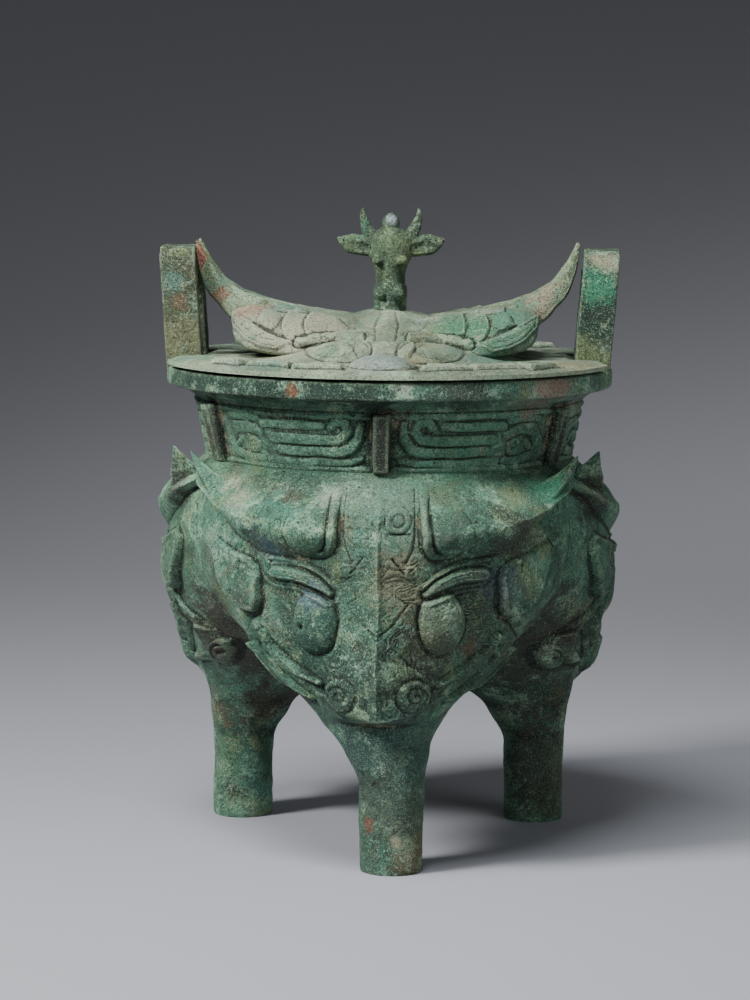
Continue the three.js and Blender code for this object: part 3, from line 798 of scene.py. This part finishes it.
def neck_relief(bearing, z):
    """How far the neck band stands out; the dragons are mirrored on both sides of each mask's flange."""
    sector = math.radians(MASK_STEP)
    along = NECK_R * np.abs(np.mod(bearing + math.pi / 2 + sector / 2, sector) - sector / 2)
    hand = places(bearing * 90, z, 0.0)
    along, z = along + 0.8 * lumps(hand, 13, 60), z + 0.5 * lumps(hand, 11, 61)
    worn = 0.8 + 0.3 * lumps(hand, 30, 62)
    drawn = np.zeros_like(z)
    for line in DRAGON:
        drawn = np.maximum(drawn, within(line_gap(along, z, line), 0.6))
    eye = disc_gap(along, z, DRAGON_EYE)
    drawn = np.maximum(drawn, 1.15 * within(eye, 0.8) - 0.6 * score(eye + 2.2, 0.6))
    lift = DRAGON_OUT * drawn * worn
    for line_z in LINES_Z:
        lift = lift + 1.3 * score(z - line_z, 1.3)
    from_flange = np.minimum(along, NECK_R * sector / 2 - along) - FLANGE_HALF
    rise = within(np.abs(z - sum(FLANGE_Z) / 2) - (FLANGE_Z[1] - FLANGE_Z[0]) / 2, 0.7)
    out = FLANGE_OUT * (0.82 + 0.18 * ease(*FLANGE_Z, z))
    return np.maximum(lift, out * within(from_flange, 0.45) * rise)


# The neck's patina greens are painted lighter than the pot's to offset the shade the lip casts on the neck.
neck_finish_with_painted_light = bronze(
    "neck_patina_with_painted_light", ((58, 92, 76), (96, 144, 118), (146, 182, 156)),
    [
        (-44, -104, 243, 5, (118, 64, 38), 0.95),
        # Dark spots down each flange: painted shade on its sides, over the flange's dark patina.
        *((x, y, z, 9, (34, 40, 34), 0.9) for x, y in FLANGE_FRONTS for z in FLANGE_SHADE_AND_PATINA_Z),
        (84, -76, 243, 17, (146, 120, 108), 0.75),
        (-97, -38, 208, 11, (158, 148, 124), 0.7),
        (-60, -88, 246, 7, (176, 184, 164), 0.6),
        (10, -108, 246, 6, (168, 176, 156), 0.5),
        (40, -100, 242, 16, (40, 52, 42), 0.75),
        (96, -28, 238, 14, (138, 112, 98), 0.5),
        *((x, y, 243, 15, (20, 50, 38), 0.95) for x, y in LIP_DARK),
    ], crust=0.7)
collar_z = np.arange(NECK_LOW[1] + 1, NECK_HIGH[1], 0.85)
collar = list(zip(np.interp(collar_z, *zip(NECK_LOW[::-1], NECK_HIGH[::-1])), collar_z))
lip = np.array(LIP, float)
run = np.concatenate([[0], np.cumsum(np.hypot(*np.diff(lip, axis=0).T))])
fine_run = np.arange(0, run[-1], 0.9)
lip = list(zip(np.interp(fine_run, run, lip[:, 0]), np.interp(fine_run, run, lip[:, 1])))
bore_z = np.linspace(MOUTH_Z, NECK_LOW[1], 14)
bore_r = np.interp(bore_z, (NECK_LOW[1], MOUTH_Z), (NECK_LOW[0] - WALL, MOUTH_R))
bore = list(zip(bore_r, bore_z)) + [(NECK_LOW[0] - 1, NECK_LOW[1])]
radius, z = (np.array(v)[:, None] for v in zip(*(collar + lip + bore)))
bearing = np.radians(np.arange(0, 360, 0.5))[None]
radius, z, bearing = np.broadcast_arrays(radius, z, bearing)
on_band = within(np.abs(np.arange(len(radius)) - len(collar) / 2)[:, None] - len(collar) / 2, 0.1)
radius = radius + neck_relief(bearing, z) * on_band
spots = places(radius * np.cos(bearing), radius * np.sin(bearing), z)
worn = cast_skin(spots, 80)
neck = shell("neck", spots + worn[..., None] * places(np.cos(bearing), np.sin(bearing), 0.6), ring=True)
settle(neck, "vessel", neck_finish_with_painted_light)


# The two loop handles: oblong bars bent to an upright loop, cast with the lip, leaning a little outward.
# Soil left the right one bright green under a bare top, and the left one olive and pale.
HANDLE_THICK = 18.5
HANDLE_WIDE = 46
HANDLE_BAR = 12
HANDLE_TOP_Z = 309.5
HANDLE_FOOT_Z = 242
HANDLE_LEAN = 5
HANDLE_BEND = 6
HANDLE_EDGE = 1.0
HANDLE_R = 114
HANDLE_STEP = 0.9


def unit(arrows):
    """Arrows brought to the length 1."""
    return arrows / (np.linalg.norm(arrows, axis=-1, keepdims=True) + 1e-9)


def handle(name, side, finish):
    """One loop: an oblong bar with softened edges swept over an upright arch, then leant outward."""
    half = HANDLE_WIDE / 2 - HANDLE_BAR / 2
    top = HANDLE_TOP_Z - HANDLE_BAR / 2
    turn = np.linspace(0, np.pi / 2, 14)
    path = [(half, z) for z in np.arange(HANDLE_FOOT_Z, top - HANDLE_BEND, HANDLE_STEP)]
    bent = HANDLE_BEND * (np.array([np.cos(turn), np.sin(turn)]).T - 1) + (half, top)
    path += list(map(tuple, bent))
    path += [(y, top) for y in np.arange(half - HANDLE_BEND - HANDLE_STEP, 0, -HANDLE_STEP)]
    path = np.array(path + [(-y, z) for y, z in path[::-1]])
    step = np.gradient(path, axis=0)
    step /= np.hypot(*step.T)[:, None]
    w, h = HANDLE_BAR / 2 - HANDLE_EDGE, HANDLE_THICK / 2 - HANDLE_EDGE
    section = []
    for (cw, ch), start in (((w, h), 0), ((-w, h), 90), ((-w, -h), 180), ((w, -h), 270)):
        for a in np.radians(np.linspace(start, start + 90, 5)):
            section.append((cw + HANDLE_EDGE * math.cos(a), ch + HANDLE_EDGE * math.sin(a)))
    closed = np.array(section + section[:1])
    runs = np.concatenate([[0], np.cumsum(np.hypot(*np.diff(closed, axis=0).T))])
    at = np.arange(0, runs[-1] - 0.4, 0.85)
    in_plane, out = np.interp(at, runs, closed[:, 0]), np.interp(at, runs, closed[:, 1])
    y = path[:, :1] + step[:, 1:] * in_plane
    z = path[:, 1:] - step[:, :1] * in_plane
    lean = HANDLE_LEAN * (z - HANDLE_FOOT_Z) / (HANDLE_TOP_Z - HANDLE_FOOT_Z)
    core = HANDLE_R - HANDLE_THICK / 2 + lean
    spots = places(side * (core + out), y, z)
    away = unit(spots - places(side * core, path[:, :1], path[:, 1:]))
    made = shell(name, spots + away * (0.8 * cast_skin(spots, 90 + side))[..., None])
    settle(made, "vessel", finish)


handle("handle_right", 1, bronze(
    "right_handle_patina", ((12, 38, 27), (15, 62, 43), (34, 90, 64)),
    [
        (112, -20, 306, 9, (150, 146, 120), 0.85),
        (108, -20, 292, 9, (52, 134, 98), 0.7),
        (102, -20, 256, 11, (104, 116, 66), 0.55),
    ]))
handle("handle_left", -1, bronze(
    "left_handle_patina", ((36, 46, 33), (72, 81, 59), (118, 122, 92)),
    [
        (-108, -20, 281, 4.5, (120, 82, 54), 0.5),
        (-112, -20, 292, 6, (84, 124, 112), 0.6),
        (-106, -20, 262, 14, (118, 118, 78), 0.5),
    ]))


# The lid: a thin flat plate that rests loose on the lip, notched at both ends for the handles.
# Two ox masks lie back to back over it in relief, front and rear, hollow underneath; their brows are scaled.
LID_R = 117
LID_Z = 250.9
LID_THICK = 2.8
LID_WALL = 3.4
LID_LIP = 1.4
NOTCH_X = 97
NOTCH_Y = 24.5
MOUND = np.array([
    # x, height over the plate, reach towards front and back
    [0, 26, 97], [16, 22, 88], [32, 15, 76], [48, 9, 62], [60, 3, 48], [67, 0.1, 42],
])
LID_TOP = LID_Z + LID_THICK
VIEW_RISE = 0.073
WING = np.array([
    # place along, x, y, z, half height, half depth
    [0, 6, 24, 263, 8, 12], [1, 22, 25, 264.2, 10.3, 17], [2, 38, 24, 265.6, 11.2, 18],
    [3, 53, 22, 267, 11.8, 17], [4, 64, 19, 268.4, 11.6, 15], [5, 72, 16, 269.4, 9.6, 11.5],
    [6, 76.4, 14, 269.8, 5.2, 6.5], [6.4, 77.4, 14, 269.8, 0.6, 0.8],
])
LEFT_STRETCH = 1.045
WING_LEAN = 1.15
WING_SQUARE = 0.72
# Rows along a brow and points around it, in front and behind.
WING_MESH = {-1: (124, 126), 1: (64, 66)}
LOWER_SCALES = (18, 40.5, 51.5, 64, 80)
UPPER_SCALES = (12, 31, 47, 60, 78)
BROW_STRIP = [(12.4, 17.7), (25, 17.2), (43, 13.8)]
LOBE = [(44, 14), (65, 23.3), (76, 29), (76, 22), (70, 15.5), (62, 11.8), (54, 10.2)]
LOBE_LINE = [(43, 13.6), (54, 17.6), (66, 24)]
SCALE_LIFT = 1.5
SCALE_BOSS = (58, 25.8, 5, 5)
EYE_LEAF = (23.5, 9.8, 15.5, 5.0)
EYE_OVAL = (26.5, 9.8, 10.5, 3.7)
EYE_ROUND = (10.8, 10.8, 4.2)
FOREHEAD_LINES = [
    [(24, 27), (18, 22.5), (13, 18.4)],
    [(3.5, 30), (6, 23), (5, 16)],
    [(0, 21), (5, 18.5), (9, 19.5)],
]
NOSE = (0, 92, 17, 17)
NOSE_LIFT = 6.6
RIM_BEVEL = 1.9
RIM_SEAT = (0.955, 0.975)
PLATE_BARS = [
    # turn from the front in degrees, from and to, then inner and outer edge
    (11, 24, 101, 109), (25.5, 39, 98, 108), (41, 52, 100, 110), (14, 22, 91, 98),
]
PLATE_BAR_LIFT = 2.3
PLATE_DEGREE = 1.8


def up_slope(y, z):
    """Height of a place of the lid as it looks from in front, where the far side shows a little higher."""
    return z - LID_TOP + (LID_R - np.abs(y)) * VIEW_RISE


def lid_mound(x, y, shrink=0.0):
    """Plain height of the two masks over the plate."""
    ax = np.abs(x)
    reach = read(MOUND, ax, 2) - 2 * shrink
    cut = np.clip(np.abs(y) / reach, 0, 1)
    height = np.clip(read(MOUND, ax, 1) - shrink, 0, None) * (1 - cut) ** 0.85 * (1 + 0.25 * cut)
    return np.where(ax < MOUND[-1, 0] - shrink, height, 0)


def lid_lines(ax, p):
    """Low relief of a lid mask as it looks from in front: scaled brow, end lobe, strip and leaf eye."""
    line = np.interp(ax, *zip(*(BROW_STRIP + LOBE_LINE[1:])))
    parting = p - 29 - 0.04 * (ax - 20)
    upper = ease(-0.5, 0.5, parting)
    lift = np.zeros_like(p)
    for row, edges, middle in ((1 - upper, LOWER_SCALES, 23), (upper, UPPER_SCALES, 33)):
        edge_x = ax + 0.05 * (p - middle) ** 2
        for start, end in zip(edges[:-1], edges[1:]):
            rise = np.clip((edge_x - start) / (end - start), 0, 1)
            lift += row * SCALE_LIFT * rise ** 2 * within(edge_x - end, 0.35)
    lift -= 0.9 * score(parting, 0.6) * ease(24, 30, ax) * within(ax - 62, 3)
    lift *= ease(-0.6, 0.6, p - line)
    lift += 1.6 * np.clip(1 - oval_share(ax, p, SCALE_BOSS) ** 2, 0, 1) ** 0.6
    lobe = shape_gap(ax, p, LOBE)
    lift += 1.5 * within(lobe, 0.7) - 0.7 * score(np.mod(-lobe, 2.7) - 1.35, 0.45) * within(lobe + 1, 0.4)
    lift -= 1.8 * score(line_gap(ax, p, LOBE_LINE), 0.8)
    strip = line_gap(ax, p, BROW_STRIP)
    lift += 1.7 * within(strip - 1.5, 0.5) - 1.2 * score(strip - 2.5, 0.6)
    leaf = oval_share(ax, p, EYE_LEAF)
    lift += 1.9 * np.clip(1 - leaf ** 2, 0, 1) ** 0.5 - 1.0 * score((leaf - 1.08) * 8, 0.7)
    lift -= 0.8 * score((oval_share(ax, p, EYE_OVAL) - 1) * 7, 0.7)
    ring = disc_gap(ax, p, EYE_ROUND)
    lift += 0.9 * within(ring, 0.9) - 0.7 * score(ring - 0.4, 0.6)
    for crease in FOREHEAD_LINES:
        lift -= 0.9 * score(line_gap(ax, p, crease), 0.7)
    return lift


def lid_face(x, y, height):
    """Low relief of a lid mask on the mound itself."""
    hand = places(x, y, height)
    p = up_slope(y, LID_TOP + height) + 0.5 * lumps(hand, 13, 121)
    return lid_lines(np.abs(x) + 0.6 * lumps(hand, 15, 120), p) * ease(0.3, 2.0, height)


def plate_relief(x, y):
    """Low bars around the lid's flat margin, in front and behind, worn and half buried in crust."""
    hand = places(x, y, 0.0)
    away = np.hypot(x, y) + 0.8 * lumps(hand, 11, 125)
    turn = np.degrees(np.arctan2(np.abs(x), np.abs(y))) + 0.7 * lumps(hand, 9, 126)
    lift = 0
    for start, end, low, high in PLATE_BARS:
        across = np.abs(away - (low + high) / 2) - (high - low) / 2
        along = (np.abs(turn - (start + end) / 2) - (end - start) / 2) * PLATE_DEGREE
        bar = np.maximum(across, along)
        lift = lift + PLATE_BAR_LIFT * within(bar, 0.5)
        lift = lift - 1.2 * score(bar + 2.4, 0.6) - 0.7 * score(bar - 1.4, 0.7)
    return lift


def squared(wave, power):
    """A wave between -1 and 1 with its crests squared off."""
    return np.sign(wave) * np.abs(wave) ** power


def wing(face, side):
    """Half of a lid mask's scaled brow: a thick leaning lobe with a rounded end."""
    rows, around = WING_MESH[face]
    along = np.linspace(0, WING[-1, 0], rows)
    x, y, z, tall, deep = (read(WING, along, i)[:, None] for i in range(1, 6))
    turn = np.linspace(0, 2 * np.pi, around, endpoint=False)[None]
    out, up = squared(np.cos(turn), WING_SQUARE), squared(np.sin(turn), WING_SQUARE)
    spots = places(x, WING_LEAN * tall * up - y - deep * out, z + tall * up)
    out = unit(np.cross(np.gradient(spots, axis=0), np.roll(spots, -1, 1) - np.roll(spots, 1, 1)))
    out *= np.sign((out * (spots - places(x, -y, z))).sum(-1).mean())
    hand = spots + np.array([60.0 * side, 90.0 * face, 0])
    p = up_slope(spots[..., 1], spots[..., 2]) + 0.7 * lumps(hand, 14, 123)
    lift = lid_lines(spots[..., 0] + 0.8 * lumps(hand, 14, 122), p)
    front = ease(-0.1, 0.5, np.cos(turn))
    spots = spots + out * (lift * (0.1 + 0.9 * front) + 0.9 * cast_skin(hand, 124))[..., None]
    spots[..., 0] *= side if side > 0 else side * LEFT_STRETCH
    spots[..., 1] *= -face
    return shell("wing", spots)


bearing = np.radians(np.concatenate([np.arange(180, 360, 0.5), np.arange(0, 180, 1.5)]))[None]
along_x, along_y = np.abs(np.cos(bearing)), np.abs(np.sin(bearing))
rim = np.where(NOTCH_X * along_y < NOTCH_Y * along_x, NOTCH_X / np.maximum(along_x, 1e-6), LID_R)
share = (np.linspace(0.02, 1, 126) ** 0.8)[:, None]
x, y = share * rim * np.cos(bearing), share * rim * np.sin(bearing)
height = lid_mound(x, y)
nose = NOSE_LIFT * np.clip(1 - oval_share(x, np.abs(y), NOSE) ** 2, 0, 1) ** 0.6
flat = (height < 0.3) & (nose < 0.1)
top = LID_TOP + np.maximum(height + lid_face(x, y, height), nose) + np.where(flat, plate_relief(x, y), 0)
top = top + 0.8 * cast_skin(places(x, y, top), 130) - RIM_BEVEL * ease(0.94, 1, share)
below = np.concatenate([np.linspace(0.02, 0.93, 14), RIM_SEAT, [1]])[:, None]
under_x, under_y = below * rim * np.cos(bearing), below * rim * np.sin(bearing)
room = lid_mound(under_x, under_y, LID_WALL)
under = LID_Z + np.where(room > 0.6, room + LID_THICK - 0.6, 0) - LID_LIP * ease(*RIM_SEAT, below)
lid = shell("lid_masks", np.concatenate([places(x, y, top), places(under_x, under_y, under)[::-1]]))
fuse(lid, [("UNION", wing(face, side)) for face in (-1, 1) for side in (-1, 1)])
lid_finish = bronze(
    "lid_patina", ((88, 104, 86), (140, 152, 130), (194, 196, 172)),
    [
        (-72, -14, 276, 9, (150, 104, 88), 0.6),
        (0, -98, 262, 15, (128, 142, 146), 0.5),
        (44, -34, 272, 19, (64, 122, 92), 0.8),
        (64, -26, 266, 14, (84, 132, 106), 0.6),
        (18, -84, 262, 9, (172, 150, 104), 0.5),
        (-30, -66, 264, 7, (60, 112, 84), 0.6),
        (-100, -30, 254, 22, (96, 140, 112), 0.5),
        (96, -50, 254, 20, (132, 122, 86), 0.5),
        (-46, -34, 268, 24, (176, 168, 146), 0.5),
    ], wear=0.5)
settle(lid, "lid", lid_finish)


# The lid's four horns: each mask has a pair that sweep out past the brow and turn up to free points.
# They are solid, cast with the lid, with a raised rim along the lower edge.
LID_HORN = np.array([
    # place along, x, z, half height, half thickness
    [0, 44, 269.5, 8, 6], [1, 58, 272.4, 8.6, 6], [2, 71, 276.8, 8.2, 5.2], [3, 82, 284, 6.4, 4.2],
    [4, 91.5, 296, 4.0, 3.2], [5, 97.5, 312.5, 0.7, 0.8],
])
LID_HORN_Y = 9
LID_HORN_LEFT = -1.03


def taper(name, stations, side, y, rows=110, around=44, square=0.8):
    """A free-standing taper along stations of place along, x, z, half height and half thickness.

    side is -1 or 1, or a little more where that side is longer.
    """
    along = np.linspace(0, stations[-1, 0], rows)
    x, z, tall, thick = (read(stations, along, i)[:, None] for i in (1, 2, 3, 4))
    step = np.stack([np.gradient(x[:, 0]), np.gradient(z[:, 0])], -1)
    step /= np.hypot(*step.T)[:, None]
    turn = np.linspace(0, 2 * np.pi, around, endpoint=False)
    up, out = squared(np.cos(turn), square), squared(np.sin(turn), square)
    rim = 1 + 0.25 * score(np.cos(turn) + 0.8, 0.15)
    spots = places(side * (x - step[:, 1:] * tall * up), y + thick * out * rim, z + step[:, :1] * tall * up)
    away = unit(spots - places(side * x, y, z))
    wear = 0.7 * cast_skin(spots, 140) * np.minimum(1, thick / 2)
    return shell(name, spots + away * wear[..., None])


lid_horns = None
for face in (-1, 1):
    for side in (LID_HORN_LEFT, 1):
        horn = taper("lid_horns", LID_HORN, side, face * LID_HORN_Y)
        lid_horns = fuse(lid_horns, [("UNION", horn)]) if lid_horns else horn
horn_finish = bronze(
    "lid_horn_patina", ((84, 100, 78), (122, 138, 110), (166, 172, 142)),
    [
        (-99, -9, 308, 8, (150, 74, 62), 0.75),
        (-88, -14, 284, 7, (156, 92, 76), 0.7),
        (80, -14, 284, 12, (168, 146, 124), 0.6),
    ], crust=0.4)
settle(lid_horns, "lid", horn_finish)


# The knob: two small upright ox heads back to back on one neck, cast with the lid.
# Short horns stand on the brow beside a round bump, and leaf-shaped ears stick out to the sides.
KNOB = np.array([
    # height, half width, half depth
    [266, 17, 21], [272, 12, 15], [277, 9, 12], [281, 8.5, 11.2], [285, 8.9, 12], [288, 8.8, 12],
    [292, 7.7, 10], [297, 8.1, 9.8], [302, 9.8, 10.6], [307, 11.5, 11.4], [312, 11.2, 10.4], [316.5, 8.6, 8],
    [320, 4.5, 4.5],
])
KNOB_EAR = np.array([
    # place along, x, z, half height, half thickness
    [0, 6, 308.5, 3.2, 3.6], [1, 13, 310, 5.2, 3.6], [2, 19, 311, 5.4, 3], [3, 24, 312.4, 3.6, 2],
    [4, 28, 314.2, 0.5, 0.6],
])
KNOB_EAR_HOLLOW = np.array([
    [0, 9, 308.6, 0.8, 1.2], [1, 14, 309.4, 3.0, 2.2], [2, 19, 310.4, 3.2, 2.0], [3, 24, 312, 1.4, 1],
])
KNOB_EAR_HOLLOW_Y = 4
KNOB_HORN = np.array([
    [0, 6.5, 310, 4.4, 3.6], [1, 10.8, 316.5, 3.5, 2.7], [2, 13.6, 322.5, 2.5, 1.8], [3, 14.6, 327, 1.4, 1.1],
    [4, 14.2, 330, 0.5, 0.5],
])
KNOB_BUMP = (0, 0, 322)
KNOB_BUMP_SIZE = (4.6, 4.6, 5.4)
KNOB_BEADS = [
    # place and size of an eye and of a nostril
    ((6.2, 9.2, 303), (3.0, 2.4, 2.6)), ((4.6, 10.6, 286), (3.2, 2.8, 3.0)),
]
KNOB_GRAIN = 0.5


def bead(centre, radii):
    """A round boss about a middle point."""
    turn = np.linspace(0, 2 * np.pi, 40, endpoint=False)[None]
    tip = np.linspace(-np.pi / 2 + 0.05, np.pi / 2 - 0.05, 24)[:, None]
    ball = places(np.cos(tip) * np.cos(turn), np.cos(tip) * np.sin(turn), np.sin(tip))
    return shell("bead", np.array(centre, float) + ball * np.array(radii, float))


turn = np.linspace(0, 2 * np.pi, 120, endpoint=False)[None]
z = np.linspace(KNOB[0, 0], KNOB[-1, 0], 120)[:, None]
knob = shell("knob", places(read(KNOB, z, 1) * np.cos(turn), read(KNOB, z, 2) * np.sin(turn), z))
parts = [bead(KNOB_BUMP, KNOB_BUMP_SIZE)]
for side in (-1, 1):
    for name, stations in (("ear", KNOB_EAR), ("horn", KNOB_HORN)):
        parts.append(taper(name, stations, side, 0, rows=50, around=36, square=1.0))
    for face in (-1, 1):
        for (x, y, z), size in KNOB_BEADS:
            parts.append(bead((side * x, face * y, z), size))
cuts = [taper("hollow", KNOB_EAR_HOLLOW, side, face * KNOB_EAR_HOLLOW_Y, rows=40, around=30, square=1.0)
        for side in (-1, 1) for face in (-1, 1)]
fuse(knob, [("UNION", part) for part in parts] + [("DIFFERENCE", cut) for cut in cuts])
remesh = knob.modifiers.new("cast", "REMESH")
remesh.mode, remesh.voxel_size = "VOXEL", KNOB_GRAIN
fuse(knob, [])
knob_finish = bronze(
    "knob_patina", ((50, 68, 50), (86, 106, 76), (136, 150, 116)),
    [
        # Painted highlight: a pale bluish spot on the front of the round bump on the brow.
        (0, -4, 325, 4.5, (168, 176, 188), 0.85),
        (0, -8, 284, 15, (36, 60, 44), 0.75),
    ], crust=0.3)
settle(knob, "lid", knob_finish)


# The floor: plain pale paper, flat under the vessel and sweeping up all round without a seam.
# A soft light stands at the upper left, a larger one overhead in front and a broad fill on the right.
# A strip behind the vessel lights the paper only.
FLOOR_FLAT = 1.0
SWEEP = 4.0
FLOOR_RIM = 1.3
PAPER = (131, 133, 139)
STUDIO_TINT = (0.525, 0.525, 0.53, 1)
STUDIO_STRENGTH = 0.33
sweep_turn = np.linspace(0, math.acos(1 - FLOOR_RIM / SWEEP), 80)
floor_r = np.concatenate([[0.02, 0.5], FLOOR_FLAT + SWEEP * np.sin(sweep_turn)])
floor_z = np.concatenate([[0, 0], SWEEP - SWEEP * np.cos(sweep_turn)])
bearing = np.linspace(0, 2 * np.pi, 180, endpoint=False)
corners = [(r * math.cos(a), r * math.sin(a), z) for r, z in zip(floor_r, floor_z) for a in bearing]
count = len(bearing)
quads = [(i * count + j, i * count + (j + 1) % count, (i + 1) * count + (j + 1) % count, (i + 1) * count + j)
         for i in range(len(floor_r) - 1) for j in range(count)]
floor_mesh = bpy.data.meshes.new("floor")
floor_mesh.from_pydata(corners, [], [tuple(range(count))] + [quad[::-1] for quad in quads])
floor_mesh.shade_smooth()
floor_finish = bpy.data.materials.new("floor_paper")
floor_finish.use_nodes = True
floor_finish.node_tree.nodes.clear()
wash = Wash(floor_finish.node_tree)
paper = wash.node("ShaderNodeBsdfPrincipled", None, {
    "Base Color": paint(*PAPER), "Roughness": 0.85, "Specular IOR Level": 0.2})
wash.node("ShaderNodeOutputMaterial", None, {"Surface": paper})
floor_mesh.materials.append(floor_finish)
set_up("floor", floor_mesh)


def soft_light(name, place, aim, size, power, tint, spread):
    """A flat light of a size in metres that stands at place and faces aim, spread wide in degrees."""
    lamp = bpy.data.lights.new(name, "AREA")
    lamp.shape, lamp.size, lamp.size_y = "RECTANGLE", *size
    lamp.energy, lamp.color, lamp.spread = power, tint, math.radians(spread)
    facing = (Vector(place) - Vector(aim)).to_track_quat("Z", "Y").to_matrix().to_4x4()
    set_up(name, lamp).matrix_world = Matrix.Translation(place) @ facing


soft_light("key_light", (-1.3, -0.9, 1.4), (0, -0.2, 0.14), (0.45, 0.45), 16.2, (1, 0.985, 0.96), 80)
soft_light("top_light", (-0.3, -0.7, 1.9), (0, -0.3, 0.1), (0.8, 0.6), 10.5, (0.98, 0.99, 1), 80)
soft_light("fill_light", (1.7, -1.5, 0.7), (0, 0, 0.15), (1.2, 1.2), 9.4, (0.98, 0.99, 1), 120)
soft_light("back_light", (0.5, 1.1, 1.0), (0.35, 1.75, 0), (1.6, 0.4), 3.2, (1, 0.99, 0.985), 110)
room = bpy.data.worlds.new("studio")
room.use_nodes = True
room_light = room.node_tree.nodes["Background"].inputs
room_light["Color"].default_value = STUDIO_TINT
room_light["Strength"].default_value = STUDIO_STRENGTH
bpy.context.scene.world = room


# The camera: a long lens on a stand 1.8 m off, a little higher than the knob and looking slightly down.
# It stands about two degrees to the right of the front mask's keel, as in the photograph.
CAMERA_AWAY = 1786.3
CAMERA_HIGH = 384.7
CAMERA_TURN = math.radians(2.2)
PITCH = math.radians(6.631)
YAW = math.radians(-0.223)
ROLL = math.radians(0.534)
IMAGE_TALL = 1000
FOCUS_PX = 3426.8
lens = bpy.data.cameras.new("camera")
lens.sensor_width = 36
lens.lens = FOCUS_PX / IMAGE_TALL * lens.sensor_width
lens.clip_start, lens.clip_end = 0.05, 50
camera = set_up("camera", lens)
turned = Matrix.Rotation(CAMERA_TURN, 4, "Z")
stand = Matrix.Translation((0, -CAMERA_AWAY * MM, CAMERA_HIGH * MM))
tilt = Matrix.Rotation(math.pi / 2 - PITCH, 4, "X") @ Matrix.Rotation(ROLL, 4, "Z")
aim = Matrix.Rotation(-YAW, 4, "Z") @ tilt
camera.matrix_world = Matrix.Translation((0, AXIS_Y * MM, 0)) @ turned @ stand @ aim
bpy.context.scene.camera = camera
